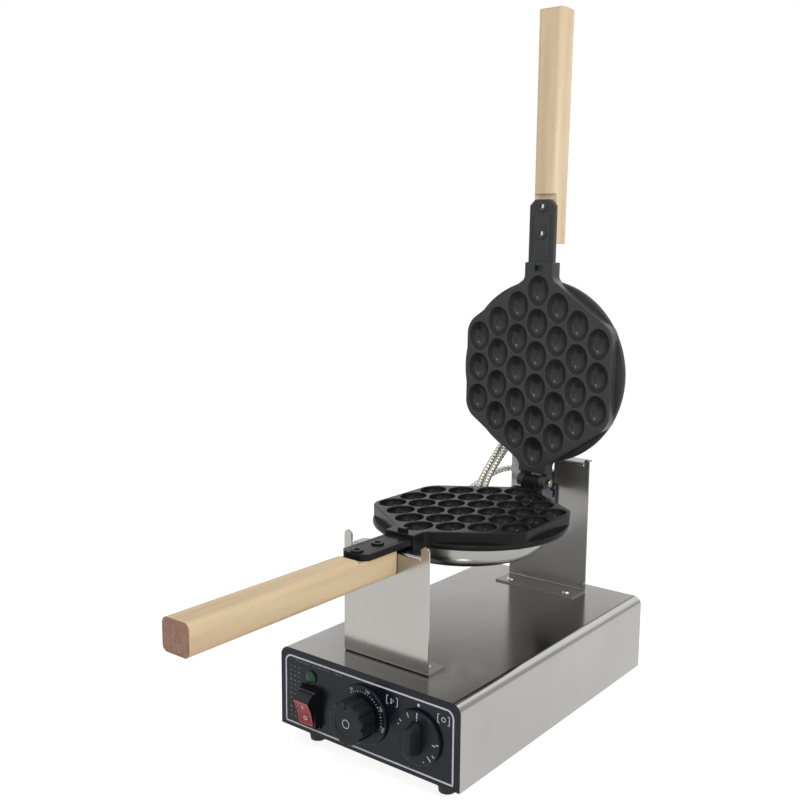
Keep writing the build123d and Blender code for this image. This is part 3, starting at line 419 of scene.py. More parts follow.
# Dark blue-grey steel for the pivot block and guide plate: its darkness is a painted dark reflection
darkReflectionSteel = grainyMetal("darkReflectionSteel", (0.115, 0.122, 0.135), (0.09, 0.096, 0.108),
                         (1400, 1400, 6), (0.2, 0.28))
plainSteel = grainyMetal("platedSteel", (0.42, 0.42, 0.41), (0.33, 0.33, 0.32),
                         (300, 300, 300), (0.28, 0.42), 0.00002)
brightSteel = grainyMetal("brightSteel", (0.66, 0.65, 0.63), (0.56, 0.55, 0.53),
                          (500, 500, 500), (0.12, 0.2))
hoseSteel = grainyMetal("hoseSteel", (0.62, 0.60, 0.56), (0.46, 0.44, 0.40),
                        (420, 420, 420), (0.2, 0.34))
bronze = grainyMetal("turnedBronze", (0.58, 0.40, 0.21), (0.46, 0.31, 0.16),
                     (90, 2500, 90), (0.24, 0.4))
sheath = grainyMetal("elementSheath", (0.30, 0.27, 0.25), (0.20, 0.17, 0.16),
                     (350, 350, 350), (0.3, 0.5), 0.00002)
castBlack = mattSolid("coatedCasting", (0.0098, 0.0098, 0.01), (0.0128, 0.0128, 0.0131),
                      1300, (0.2, 0.28), 0.000015, Specular_IOR_Level=0.085)
# The upper casting's copy of the black coating, paler and shinier: painted light on its front-lit face
castLit = mattSolid("litCasting", (0.041, 0.0413, 0.042), (0.047, 0.0473, 0.048),
                     1300, (0.2, 0.28), 0.000015, Specular_IOR_Level=0.19)
blackPlastic = mattSolid("blackPlastic", (0.0065, 0.0078, 0.0112), (0.0092, 0.0106, 0.0142),
                         1600, (0.3, 0.42), 0.00002, Specular_IOR_Level=0.21)
bezelPlastic = mattSolid("bezelPlastic", (0.005, 0.0053, 0.0078), (0.0075, 0.0078, 0.0105),
                         900, (0.26, 0.36), 0.00001, Specular_IOR_Level=0.35)
rubberBlack = mattSolid("footRubber", (0.012, 0.0115, 0.011), (0.022, 0.021, 0.02), 700, (0.6, 0.8), 0.00006)
whiteMoulding = mattSolid("whiteMoulding", (0.80, 0.79, 0.75), (0.72, 0.71, 0.67), 900, (0.4, 0.55), 0.00002)
panelGloss = mattSolid("panelGloss", (0.004, 0.0055, 0.0125), (0.006, 0.0072, 0.0128),
                       60, (0.2, 0.3), 0.000002, Specular_IOR_Level=0.24)
printWhite = mattSolid("printWhite", (0.62, 0.64, 0.72), (0.55, 0.57, 0.64), 1200, (0.4, 0.5), 0.000004)
printGrey = mattSolid("printGrey", (0.075, 0.076, 0.09), (0.045, 0.046, 0.058), 700, (0.4, 0.5), 0.000004)
redGloss = mattSolid("rockerRed", (0.33, 0.022, 0.018), (0.26, 0.014, 0.012),
                     400, (0.2, 0.3), 0.00001, Specular_IOR_Level=0.2)
# Paler red for the rocker's rim: a painted highlight along its edge
redRimHighlight = mattSolid("rockerRimHighlight", (0.60, 0.13, 0.11), (0.52, 0.09, 0.08),
                    400, (0.2, 0.3), 0.00001, Specular_IOR_Level=0.2)
greenGloss = mattSolid("lampGreen", (0.006, 0.085, 0.026), (0.004, 0.05, 0.014),
                       300, (0.12, 0.18), 0.00001, Specular_IOR_Level=0.3)
beechAlongY = woodMaterial("beechLower", 1, (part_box("lower_handle")[0].y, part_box("lower_handle")[1].y),
                           "paleShaded", "tanShaded")
beechAlongZ = woodMaterial("beechUpper", 2, (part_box("upper_handle")[1].z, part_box("upper_handle")[0].z),
                           "pale", "tan")
print("materials made")


# Conduits: ribbed steel hoses, each along its route of control points, in millimetres
hoseSet = {"radius": 0.004, "groove": 0.0033, "pitch": 0.0047, "sides": 24,
           "rib": ((0.05, 0), (0.16, 0.75), (0.30, 1), (0.70, 1), (0.84, 0.75), (0.95, 0))}
hoseRoutes = {
    "conduit_left": {
        "length": 0.1552, "bodies": ("lower_pan", "upper_pan"),
        "points": [(-46.012, 65.828, 220.2), (-60.421, 91.823, 220.2), (-70.45, 112, 240), (-68.45, 136, 265),
                   (-60.421, 149.449, 287.926), (-46.012, 149.767, 313.919)]},
    "conduit_right": {
        "length": 0.1487, "bodies": ("lower_pan", "upper_pan"),
        "points": [(-38.227, 70.143, 220.2), (-52.637, 96.138, 220.2), (-61.55, 112, 240), (-59.55, 136, 265),
                   (-52.637, 149.396, 283.612), (-38.227, 149.714, 309.605)]},
    "conduit_feed": {
        "length": 0.1238, "bodies": ("base", "pivot_guide"),
        "points": [(30, 184, 117), (30, 184, 125), (22, 184, 165), (-14.416, 184, 219.779),
                   (-20.805, 184, 224.593)]},
    "conduit_link": {
        "length": 0.1918, "bodies": ("pivot_guide", "lower_pan"),
        "points": [(-27.195, 184, 229.407), (-33.584, 184, 234.221), (-55, 184, 251), (-74, 168, 249),
                   (-84, 136, 237), (-90, 103, 223), (-82, 76, 220.2), (-60.595, 56.98, 220.2)]},
}


def lineThrough(points):
    # Points of the smooth line that a NURBS spline makes of its control points
    curve = bpy.data.curves.new("route", "CURVE")
    curve.dimensions = "3D"
    curve.resolution_u = 24
    spline = curve.splines.new("NURBS")
    spline.points.add(len(points) - 1)
    for point, place in zip(spline.points, points):
        point.co = (*[value / 1000 for value in place], 1)
    spline.order_u = 3
    spline.use_endpoint_u = True
    route = newObject("route", curve)
    bpy.context.view_layer.update()
    mesh = bpy.data.meshes.new_from_object(route)
    line = [v.co.copy() for v in mesh.vertices]
    bpy.data.objects.remove(route)
    return line


def ringPlaces(line, stations):
    # The place and direction on the line at each distance, and a side that turns with it
    reach = [0.0]
    for a, b in zip(line, line[1:]):
        reach.append(reach[-1] + (b - a).length)
    places = []
    side = None
    span = 0
    for share in stations:
        distance = share * reach[-1]
        while span < len(line) - 2 and reach[span + 1] < distance:
            span += 1
        along = (line[span + 1] - line[span]).normalized()
        place = line[span] + along * (distance - reach[span])
        before, after = line[max(span - 1, 0)], line[min(span + 2, len(line) - 1)]
        heading = (after - before).normalized()
        side = heading.orthogonal() if side is None else side
        side = (side - heading * side.dot(heading)).normalized()
        places.append((place, heading, side))
    return places


def makeHose(name, route):
    s = hoseSet
    line = lineThrough(route["points"])
    ribs = round(route["length"] / s["pitch"])
    stations = [(0, 0)]
    stations += [((i + part) / ribs, rise) for i in range(ribs) for part, rise in s["rib"]] + [(1, 0)]
    rings = ringPlaces(line, [share for share, rise in stations])
    verts = []
    for (place, heading, side), (share, rise) in zip(rings, stations):
        other = heading.cross(side)
        radius = s["groove"] + (s["radius"] - s["groove"]) * rise
        for i in range(s["sides"]):
            a = 2 * math.pi * i / s["sides"]
            verts.append(place + side * radius * math.cos(a) + other * radius * math.sin(a))
    n = s["sides"]
    faces = [(r * n + i, r * n + (i + 1) % n, (r + 1) * n + (i + 1) % n, (r + 1) * n + i)
             for r in range(len(rings) - 1) for i in range(n)]
    faces += [tuple(range(n))[::-1], tuple(range((len(rings) - 1) * n, len(rings) * n))]
    mesh = bpy.data.meshes.new(name)
    mesh.from_pydata(verts, [], faces)
    hose = newObject(name + "_hose", mesh)
    editAll(hose)
    bpy.ops.mesh.normals_make_consistent(inside=False)
    objectMode()
    smooth(hose, 50, False)
    dress(hose, hoseSteel, "conduit_steel", None, name)
    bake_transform(hose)


for hoseName, hoseRoute in hoseRoutes.items():
    makeHose(hoseName, hoseRoute)
print("conduits made")


def paintNodes(material, *names):
    for name in names:
        nodes[name].data.materials.clear()
        nodes[name].data.materials.append(material)


paintNodes(steel, "base_shell", "rear_panel", "front_panel")
paintNodes(steelUp, "front_rest_bracket")
paintNodes(steelRearShaded, "rear_pivot_bracket")
paintNodes(steelDish, "lower_dish_cover", "upper_dish_cover")
paintNodes(darkReflectionSteel, "pivot_block")
paintNodes(plainSteel, "bottom_plate", "lower_heater_clamp", "upper_heater_clamp", "hose_clip",
           "thermostat_body", "timer_body")
paintNodes(brightSteel, "housing_screws", "foot_screws", "bracket_screws", "bracket_nuts", "hinge_pin",
           "hinge_nut", "lower_conduit_fittings", "upper_conduit_fittings", "lower_dish_screws",
           "upper_dish_screws", "lower_clamp_screw", "upper_clamp_screw", "lower_handle_screws",
           "upper_handle_screws", "pivot_shaft", "pivot_washer", "pivot_nut", "base_conduit_gland",
           "hose_clip_screw", "thermostat_shaft", "timer_shaft")
paintNodes(hoseSteel, "conduit_left", "conduit_right", "conduit_feed", "conduit_link")
paintNodes(bronze, "pivot_bush")
paintNodes(sheath, "lower_heater", "upper_heater")
paintNodes(castBlack, "lower_mould")
paintNodes(castLit, "upper_mould")
paintNodes(rubberBlack, "rubber_feet")
paintNodes(panelGloss, "control_fascia")
paintNodes(bezelPlastic, "switch_housing", "lamp_body", "switch_rocker")
paintNodes(blackPlastic, "thermostat_dial", "thermostat_knob", "timer_dial", "timer_knob", "lead_gland",
           "lead_gland_nut")
paintNodes(whiteMoulding, "terminal_block")
paintNodes(greenGloss, "lamp_lens")
paintNodes(beechAlongY, "lower_handle")
paintNodes(beechAlongZ, "upper_handle")
print("nodes painted")


# Plate frames: the middle of a baking face, X to the right, -Y to the handle, Z out of the face
plateSet = {"height": 0.245, "fieldY": -0.008, "gap": 0.0018, "hinge": (0, 0.1287, 0.2513), "open": 90.7}


def lowerPlace():
    return Matrix.Translation((0, plateSet["fieldY"], plateSet["height"]))


def upperPlace():
    hinge = Vector(plateSet["hinge"])
    closed = Matrix.Translation((0, plateSet["fieldY"], plateSet["height"] + plateSet["gap"]))
    swing = Matrix.Rotation(math.radians(-plateSet["open"]), 4, "X")
    turned = Matrix.Rotation(math.pi, 4, "Y")
    return Matrix.Translation(hinge) @ swing @ Matrix.Translation(-hinge) @ closed @ turned


# Moulds: the field with its oval cells, the rim disc, necks, tongue and hinge knuckles
mouldSet = {
    "halfWidth": 0.102, "flatHalf": 0.0565, "halfLength": 0.1137, "neckHalf": 0.0195, "depth": 0.018,
    "sideBevel": 0.0131, "rootBevel": 0.0042, "edge": 0.0012,
    "discRadius": 0.113, "discTop": -0.012, "discEdge": 0.0022,
    "cellWidth": 0.0288, "cellLength": 0.0361, "cellLip": 0.0011, "cellSides": 56, "cellRings": 12,
    "pitchAcross": 0.02784, "pitchAlong": 0.03987, "longest": 6, "aside": 3,
    "neckFront": 0.134, "lowerNeckEnd": 0.1265, "upperNeckEnd": 0.1254,
    "tongueHalf": 0.0175, "tongueTop": -0.004, "tongueLow": -0.011, "tongueTip": 0.209,
    "tipCut": 0.007, "bossNear": 0.1686, "bossFar": 0.2009, "bossRadius": 0.0068, "bossRise": 0.0018,
    "lineX": 0.0125, "lineHalf": 0.0004, "lineDepth": 0.0006, "lineFrom": 0.140, "lineTo": 0.190,
    "tongueRoot": 0.002, "tongueEdge": 0.001, "holeRadius": 0.0036,
    "hingeBack": 0.1367, "knuckle": 0.008, "knuckleBore": 0.00303, "knuckleEdge": 0.0006,
    "lowerKnuckle": (-0.0104, 0.0104), "lowerAxis": 0.0063,
    "upperKnuckle": (0.0109, 0.0195), "upperAxis": -0.0045,
    "lug": ((-0.0052, -0.1299, -0.002), (0.0052, -0.1236, 0.004)), "lugEdge": 0.0008,
    "pocket": ((-0.0058, -0.1305, -0.0046), (0.0058, -0.123, 0.002)),
    "shaftBoss": 0.009, "shaftBossStart": 0.0045, "shaftBossEnd": 0.152,
    "keel": 0.0127, "keelFrom": -0.1553, "keelTo": -0.132, "keelHalf": 0.0063, "keelTop": -0.0105,
    "keelEdge": 0.0004,
}


def cellCutter(s):
    # A half egg with a rolled lip, a little above the face
    radius = s["cellWidth"] / 2
    lip = s["cellLip"]
    profile = [(0, -radius)]
    for i in range(1, s["cellRings"]):
        a = math.pi / 2 * i / s["cellRings"]
        profile.append((radius * math.sin(a), -lip - (radius - lip) * math.cos(a)))
    for i in range(6):
        a = math.pi / 2 * i / 5
        profile.append((radius + lip * (1 - math.cos(a)), -lip + lip * math.sin(a)))
    profile += [(radius + lip, lip), (0, lip)]
    return lathe("cellCutter", profile, s["cellSides"], (1, s["cellLength"] / s["cellWidth"], 1))


def allCells(s):
    cutter = cellCutter(s)
    cells = []
    for column in range(-s["aside"], s["aside"] + 1):
        count = s["longest"] - abs(column)
        for i in range(count):
            place = (column * s["pitchAcross"], (i - (count - 1) / 2) * s["pitchAlong"], 0)
            cells.append(copyOf(cutter, "cell", Matrix.Translation(place)))
    bpy.data.objects.remove(cutter)
    return join("cells", cells)


def mouldField(s, neckEnd):
    # Six-sided field and both necks in one outline, its corners and the roots of its necks rounded
    w, flat, length, neck = s["halfWidth"], s["flatHalf"], s["halfLength"], s["neckHalf"]
    right = [(neck, -s["neckFront"]), (neck, -length), (w, -flat), (w, flat), (neck, length), (neck, neckEnd)]
    outline = right + [(-x, y) for x, y in reversed(right)]
    field = raised("field", outline, -s["depth"], 0)
    bevelUpright(field, (w, flat), s["sideBevel"], 10)
    bevelUpright(field, (neck, length), s["rootBevel"], 6)
    return roundEdges(field, s["edge"], 3, 50)


def mouldTongue(s):
    # The flat arm for the handle, its tip chamfered, with two ring bosses and six-sided holes
    half, tip, cut = s["tongueHalf"], s["tongueTip"], s["tipCut"]
    start = -s["neckFront"] + s["tongueRoot"]
    outline = [(-half, start), (-half, cut - tip), (cut - half, -tip), (half - cut, -tip), (half, cut - tip),
               (half, start)]
    arm = raised("arm", outline, s["tongueLow"], s["tongueTop"])
    roundEdges(arm, s["tongueEdge"], 3, 40)
    for sx in (-1, 1):
        x0, x1 = sorted((sx * (s["lineX"] - s["lineHalf"]), sx * (s["lineX"] + s["lineHalf"])))
        line = addBox("line", (x0, -s["lineTo"], s["tongueTop"] - s["lineDepth"]),
                      (x1, -s["lineFrom"], s["tongueTop"] + 0.001))
        arm = boolean(arm, line, "DIFFERENCE")
    for y in (-s["bossNear"], -s["bossFar"]):
        top = s["tongueTop"] + s["bossRise"]
        boss = addRod("boss", (0, y, s["tongueLow"] + 0.001), (0, y, top), s["bossRadius"], 0.0005)
        arm = boolean(arm, boss, "UNION")
        hole = addRod("hole", (0, y, s["tongueLow"] + 0.002), (0, y, top + 0.001), s["holeRadius"], sides=6)
        arm = boolean(arm, hole, "DIFFERENCE")
    return arm


def mouldKnuckle(s, x0, x1, height, webEnd):
    # A barrel round the hinge pin on a web that grows out of the neck
    back, edge = s["hingeBack"], s["knuckleEdge"]
    barrel = addRod("barrel", (x0, back, height), (x1, back, height), s["knuckle"], edge)
    web = addBox("web", (x0 + 0.0002, webEnd - 0.003, -s["depth"]), (x1 - 0.0002, back, height), edge)
    barrel = boolean(barrel, web, "UNION")
    bore = addRod("bore", (x0 - 0.001, back, height), (x1 + 0.001, back, height), s["knuckleBore"])
    return boolean(barrel, bore, "DIFFERENCE")


def mouldShared(s, neckEnd):
    body = mouldField(s, neckEnd)
    disc = addRod("disc", (0, 0, -s["depth"] - 0.0001), (0, 0, s["discTop"]), s["discRadius"], s["discEdge"],
                  160)
    body = boolean(body, disc, "UNION")
    body = boolean(body, mouldTongue(s), "UNION")
    return boolean(body, allCells(s), "DIFFERENCE")


def makeLowerMould(s):
    body = mouldShared(s, s["lowerNeckEnd"])
    lug = addBox("lug", *s["lug"], s["lugEdge"])
    body = boolean(body, lug, "UNION")
    body = boolean(body, mouldKnuckle(s, *s["lowerKnuckle"], s["lowerAxis"], s["lowerNeckEnd"]), "UNION")
    boss = addRod("shaftBoss", (0, s["hingeBack"] + s["shaftBossStart"], 0), (0, s["shaftBossEnd"], 0),
                  s["shaftBoss"], s["knuckleEdge"])
    body = boolean(body, boss, "UNION")
    keel = addRod("keel", (0, s["keelFrom"], 0), (0, s["keelTo"], 0), s["keel"], s["keelEdge"])
    for sx in (-1, 1):
        bisect(keel, (sx * s["keelHalf"], 0, 0), (sx, 0, 0))
    bisect(keel, (0, 0, s["keelTop"]), (0, 0, 1))
    body = boolean(body, keel, "UNION")
    body.data.transform(lowerPlace())
    smooth(body, 40)
    body.name = "lowerCasting"
    return dress(body, castBlack, "coated_casting", "lower_pan", "lower_mould")


def makeUpperMould(s):
    body = mouldShared(s, s["upperNeckEnd"])
    pocket = addBox("pocket", *s["pocket"])
    body = boolean(body, pocket, "DIFFERENCE")
    for side in (-1, 1):
        x0, x1 = sorted(side * x for x in s["upperKnuckle"])
        body = boolean(body, mouldKnuckle(s, x0, x1, s["upperAxis"], s["upperNeckEnd"]), "UNION")
    body.data.transform(upperPlace())
    smooth(body, 40)
    body.name = "upperCasting"
    return dress(body, castLit, "coated_casting", "upper_pan", "upper_mould")


makeLowerMould(mouldSet)
makeUpperMould(mouldSet)
print("moulds made")


# Bracket screws: domed heads with a cross recess
screwSet = {"places": [(-0.041, -0.146), (0.041, -0.146), (-0.041, 0.147), (0.041, 0.147)], "seat": 0.110,
            "headRadius": 0.005, "headHeight": 0.0028, "shank": 0.0025, "end": 0.1018,
            "crossHalf": 0.0026, "crossWidth": 0.0005, "crossDepth": 0.0014, "turn": 25, "turnStep": 40}


def makeBracketScrews(s):
    r, h = s["headRadius"], s["headHeight"]
    low = s["end"] - s["seat"]
    profile = [(0, h), (r * 0.3, h * 0.96), (r * 0.58, h * 0.82), (r * 0.82, h * 0.58), (r * 0.96, h * 0.3),
               (r, 0.0003), (r, 0), (s["shank"], 0), (s["shank"], low), (0, low)]
    screw = lathe("screw", profile, 40)
    wide, thin, bottom = s["crossHalf"], s["crossWidth"], h - s["crossDepth"]
    for half in ((wide, thin), (thin, wide)):
        slot = addBox("slot", (-half[0], -half[1], bottom), (half[0], half[1], h + 0.001))
        screw = boolean(screw, slot, "DIFFERENCE")
    copies = []
    for i, (x, y) in enumerate(s["places"]):
        turned = Matrix.Rotation(math.radians(s["turn"] + s["turnStep"] * i), 4, "Z")
        copies.append(copyOf(screw, "screw", Matrix.Translation((x, y, s["seat"])) @ turned))
    bpy.data.objects.remove(screw)
    screws = smooth(join("crossScrews", copies), 40, False)
    return dress(screws, brightSteel, "bright_steel", "base", "bracket_screws")


makeBracketScrews(screwSet)
print("screws made")


# Front plate of the guide block, which slides on the front of the rear bracket
guideSet = {"low": (-0.0125, 0.1637, 0.184), "high": (0.0125, 0.1657, 0.2415), "edge": 0.0005}
guidePlate = smooth(addBox("guidePlate", guideSet["low"], guideSet["high"], guideSet["edge"]))
# Its dark blue-grey is a painted dark reflection
dress(guidePlate, darkReflectionSteel, "inner_steel", "pivot_guide")
print("guide plate made")


# Fascia and dials: flat prints, drawn as seen from the front and a hair proud of their face
printSet = {"front": -0.197, "rise": 0.00012, "root": 0.0002}


def frontPlace(x, z, y=printSet["front"]):
    return Matrix.Translation((x, y, z)) @ Matrix.Rotation(math.pi / 2, 4, "X")


def dialPlace(x, z, y, angle, radius):
    # A place on a dial, its angle clockwise from the top as seen from the front
    a = math.radians(angle)
    middle = Matrix.Translation((x + radius * math.sin(a), y, z + radius * math.cos(a)))
    return middle @ Matrix.Rotation(a, 4, "Y") @ Matrix.Rotation(math.pi / 2, 4, "X")


def bar(width, length, place):
    s = printSet
    obj = addBox("bar", (-width / 2, -length / 2, -s["root"]), (width / 2, length / 2, s["rise"]))
    obj.data.transform(place)
    return obj


def dot(radius, place, sides=16):
    obj = addRod("dot", (0, 0, -printSet["root"]), (0, 0, printSet["rise"]), radius, sides=sides)
    obj.data.transform(place)
    return obj


def ring(radius, width, place, sides=40):
    obj = addRod("ring", (0, 0, -printSet["root"]), (0, 0, printSet["rise"]), radius, sides=sides)
    hole = addRod("hole", (0, 0, -0.001), (0, 0, 0.001), radius - width, sides=sides)
    boolean(obj, hole, "DIFFERENCE")
    obj.data.transform(place)
    return obj


def numeral(text, size, place):
    deselect()
    bpy.ops.object.text_add()
    obj = bpy.context.object
    obj.data.body = text
    obj.data.size = size
    obj.data.align_x = obj.data.align_y = "CENTER"
    obj.data.extrude = printSet["rise"]
    obj.data.resolution_u = 3
    pick(obj)
    bpy.ops.object.convert(target="MESH")
    obj = bpy.context.object
    obj.data.transform(place)
    return obj


borderSet = {"half": 0.113, "low": 0.023, "high": 0.101, "width": 0.0018,
             "topCorner": 0.009, "lowCorner": 0.0018}


def roundedFrame(s, inset):
    # The border's outline at an inset: big upper corners, small lower ones
    half, low, high = s["half"] - inset, s["low"] + inset, s["high"] - inset
    outline = []
    small, big = s["lowCorner"], s["topCorner"]
    corners = [(half, low, small, -90), (half, high, big, 0),
               (-half, high, big, 90), (-half, low, small, 180)]
    for x, y, size, start in corners:
        r = max(size - inset, 0.0003)
        cx, cy = x - math.copysign(r, x), (y + r if y == low else y - r)
        for i in range(9):
            a = math.radians(start + 90 * i / 8)
            outline.append((cx + r * math.cos(a), cy + r * math.sin(a)))
    return outline


def makeBorder(s):
    frameLine = raised("border", roundedFrame(s, 0), -printSet["root"], printSet["rise"])
    inside = raised("inside", roundedFrame(s, s["width"]), -0.001, 0.001)
    boolean(frameLine, inside, "DIFFERENCE")
    frameLine.data.transform(frontPlace(0, 0))
    return frameLine


iconSet = {"places": ((0.0364, 0.0892), (0.1004, 0.0887)), "halfWidth": 0.007, "height": 0.0098,
           "line": 0.0008, "endLength": 0.0022, "endIn": 0.0009, "endRise": 0.0045}


def bracketIcon(x, z):
    # Two square brackets round a small sign
    s = iconSet
    parts = []
    for side in (-1, 1):
        edge = x + side * s["halfWidth"]
        parts.append(bar(s["line"], s["height"], frontPlace(edge, z)))
        for end in (-1, 1):
            place = frontPlace(edge - side * s["endIn"], z + end * s["endRise"])
            parts.append(bar(s["endLength"], s["line"], place))
    return parts


# Marks by place and size, then columns and a row of faint ticks in the place of small print
markSet = {"pointer": (0.070, 0.0945, 0.0017), "clockRing": (0.1004, 0.0887, 0.0026, 0.0007),
           "heatStem": (0.0352, 0.0895, 0.0009, 0.0044), "heatBulb": (0.0352, 0.0868, 0.0011),
           "heatTicks": ((0.0378, 0.0905, 0.0016, 0.0006), (0.0378, 0.0885, 0.0016, 0.0006)),
           "columns": (-0.1045, -0.0985, -0.0925), "columnTop": 0.0885,
           "columnStep": 0.0052, "columnRows": 12,
           "columnTick": 0.0034, "columnLess": 0.0006, "columnTall": 0.0022, "columnLow": 0.0012,
           "rowFrom": -0.096, "rowTo": -0.030, "rowZ": 0.0965, "rowStep": 0.0042,
           "rowTick": 0.0026, "rowLess": 0.0005, "rowTall": 0.0018}


def makeFasciaPrints():
    s = markSet
    white = [makeBorder(borderSet)]
    for x, z in iconSet["places"]:
        white += bracketIcon(x, z)
    for x, z, radius in (s["pointer"], s["heatBulb"]):
        white.append(dot(radius, frontPlace(x, z)))
    x, z, radius, width = s["clockRing"]
    white.append(ring(radius, width, frontPlace(x, z)))
    for x, z, width, length in (s["heatStem"], *s["heatTicks"]):
        white.append(bar(width, length, frontPlace(x, z)))
    dress(join("fasciaLines", white), printWhite, "terminal_white", "base")
    faint = []
    for row in range(s["columnRows"]):
        for i, x in enumerate(s["columns"]):
            height = s["columnTall"] if (row * 5 + i * 3) % 4 else s["columnLow"]
            place = frontPlace(x, s["columnTop"] - row * s["columnStep"])
            faint.append(bar(s["columnTick"] - s["columnLess"] * ((row + i) % 3), height, place))
    steps = int((s["rowTo"] - s["rowFrom"]) / s["rowStep"])
    for i in range(steps + 1):
        if i % 7 != 5:
            place = frontPlace(s["rowFrom"] + i * s["rowStep"], s["rowZ"])
            faint.append(bar(s["rowTick"] - s["rowLess"] * (i % 2), s["rowTall"], place))
    dress(join("fasciaTicks", faint), printGrey, "fascia", "base")


thermostatSet = {"x": 0.0, "z": 0.064, "face": -0.201, "dots": 0.0255, "from": -35, "to": 110, "step": 7.5,
                 "bigDot": 0.00075, "smallDot": 0.0005,
                 "numerals": ((-30, "50"), (15, "100"), (60, "150"), (105, "200")),
                 "numeralRadius": 0.0285, "numeralSize": 0.004}
# Each bar by angle, radius, width and length; each dot by angle and radius
timerSet = {"x": 0.070, "z": 0.0615, "face": -0.2015, "dotRadius": 0.0007,
            "bars": ((-55, 0.0235, 0.001, 0.0026), (-25, 0.0238, 0.0009, 0.005),
                     (3, 0.0238, 0.001, 0.0066), (88, 0.0262, 0.001, 0.0028),
                     (92, 0.0222, 0.001, 0.004), (120, 0.0248, 0.001, 0.0034),
                     (135, 0.0232, 0.001, 0.0066)),
            "dots": ((-68, 0.0235), (3, 0.019), (155, 0.024))}


def makeDialPrints():
    s = thermostatSet
    marks = []
    count = round((s["to"] - s["from"]) / s["step"])
    for i in range(count + 1):
        angle = s["from"] + i * s["step"]
        size = s["smallDot"] if i % 3 else s["bigDot"]
        marks.append(dot(size, dialPlace(s["x"], s["z"], s["face"], angle, s["dots"]), 10))
    for angle, text in s["numerals"]:
        place = dialPlace(s["x"], s["z"], s["face"], angle, s["numeralRadius"])
        marks.append(numeral(text, s["numeralSize"], place))
    dress(join("thermostatScale", marks), printWhite, "terminal_white", "thermostat_control")
    s = timerSet
    marks = [bar(width, length, dialPlace(s["x"], s["z"], s["face"], angle, radius))
             for angle, radius, width, length in s["bars"]]
    marks += [dot(s["dotRadius"], dialPlace(s["x"], s["z"], s["face"], angle, radius), 10)
              for angle, radius in s["dots"]]
    dress(join("timerScale", marks), printWhite, "terminal_white", "timer_control")


makeFasciaPrints()
makeDialPrints()
print("prints made")


# Knobs: heights count out from the fascia's front
knobSet = {"hubRadius": 0.018, "hubBack": 0.0041, "back": 0.008, "front": 0.030, "radius": 0.0225,
           "edge": 0.0018, "dish": 0.0135, "dishDepth": 0.0009,
           "scallops": 12, "scallopAt": 0.0243, "scallop": 0.0036,
           "ringRadius": 0.0047, "ringWidth": 0.0007, "dimpleAt": 0.0178, "dimple": 0.0016}


def makeThermostatKnob(s):
    r, edge, front, back = s["radius"], s["edge"], s["front"], s["back"]
    low = front - s["dishDepth"]
    dish = s["dish"]
    profile = [(0, low), (dish, low), (dish + 0.0004, low + 0.0002), (dish + 0.0010, front - 0.0001),
               (dish + 0.0016, front)]
    for i in range(6):
        a = math.pi / 2 * i / 5
        profile.append((r - edge + edge * math.sin(a), front - edge + edge * math.cos(a)))
    profile += [(r, back + 0.0006), (r - 0.0006, back), (s["hubRadius"], back),
                (s["hubRadius"], s["hubBack"]), (0, s["hubBack"])]
    knob = lathe("knob", profile, 96)
    for i in range(s["scallops"]):
        a = 2 * math.pi * i / s["scallops"]
        x, y = s["scallopAt"] * math.sin(a), s["scallopAt"] * math.cos(a)
        scallop = addRod("scallop", (x, y, back - 0.001), (x, y, front + 0.001), s["scallop"], sides=32)
        knob = boolean(knob, scallop, "DIFFERENCE")
    dimple = addRod("dimple", (0, s["dimpleAt"], front - 0.0007), (0, s["dimpleAt"], front + 0.001),
                    s["dimple"], sides=24)
    knob = boolean(knob, dimple, "DIFFERENCE")
    t = thermostatSet
    knob.data.transform(frontPlace(t["x"], t["z"]))
    smooth(knob, 35)
    knob.name = "scallopedKnob"
    dress(knob, blackPlastic, "black_plastic", "thermostat_control", "thermostat_knob")
    mark = ring(s["ringRadius"], s["ringWidth"], frontPlace(t["x"], t["z"], printSet["front"] - low), 48)
    mark.name = "knobRing"
    dress(mark, printWhite, "terminal_white", "thermostat_control")


gripSet = {"width": 0.015, "length": 0.036, "back": 0.0045, "front": 0.020, "taper": 12, "edge": 0.0011,
           "arcPoints": 12}


def makeTimerGrip(s):
    r = s["width"] / 2
    straight = s["length"] / 2 - r
    outline = []
    for side in (1, -1):
        for i in range(s["arcPoints"] + 1):
            a = math.pi * i / s["arcPoints"]
            outline.append((side * r * math.cos(a), side * (straight + r * math.sin(a))))
    grip = raised("grip", outline, s["back"] - 0.0003, s["front"])
    draw = (s["front"] - s["back"]) * math.tan(math.radians(s["taper"]))
    for vert in grip.data.vertices:
        if vert.co.z > s["front"] - 0.0001:
            x, y = vert.co.x, vert.co.y
            level = math.copysign(min(abs(y), straight), y)
            share = (r - draw) / r
            vert.co.x = x * share
            vert.co.y = level + (y - level) * share
    roundEdges(grip, s["edge"], 4, 50)
    t = timerSet
    grip.data.transform(frontPlace(t["x"], t["z"]))
    smooth(grip, 35)
    grip.name = "timerGrip"
    dress(grip, blackPlastic, "black_plastic", "timer_control", "timer_knob")


makeThermostatKnob(knobSet)
makeTimerGrip(gripSet)
print("knobs made")


# Rocker: a red dished face with a raised rim whose paler red is a painted highlight, a bar above and a ring
# below, leaning with the black rocker
rockerSet = {"x": -0.0745, "z": 0.0507, "pivotY": -0.1985, "reach": 0.01166, "half": 0.015, "dish": 0.0014,
             "tilt": 18, "barAt": 0.0068, "ringAt": -0.0072, "faceHalf": 0.0147, "faceWide": 0.0098,
             "proud": 0.001, "rim": 0.0012, "sunk": 0.0005, "corner": 0.002, "back": 0.0012,
             "rimEdge": 0.00025, "bar": (0.0014, 0.005), "ring": (0.0026, 0.001)}


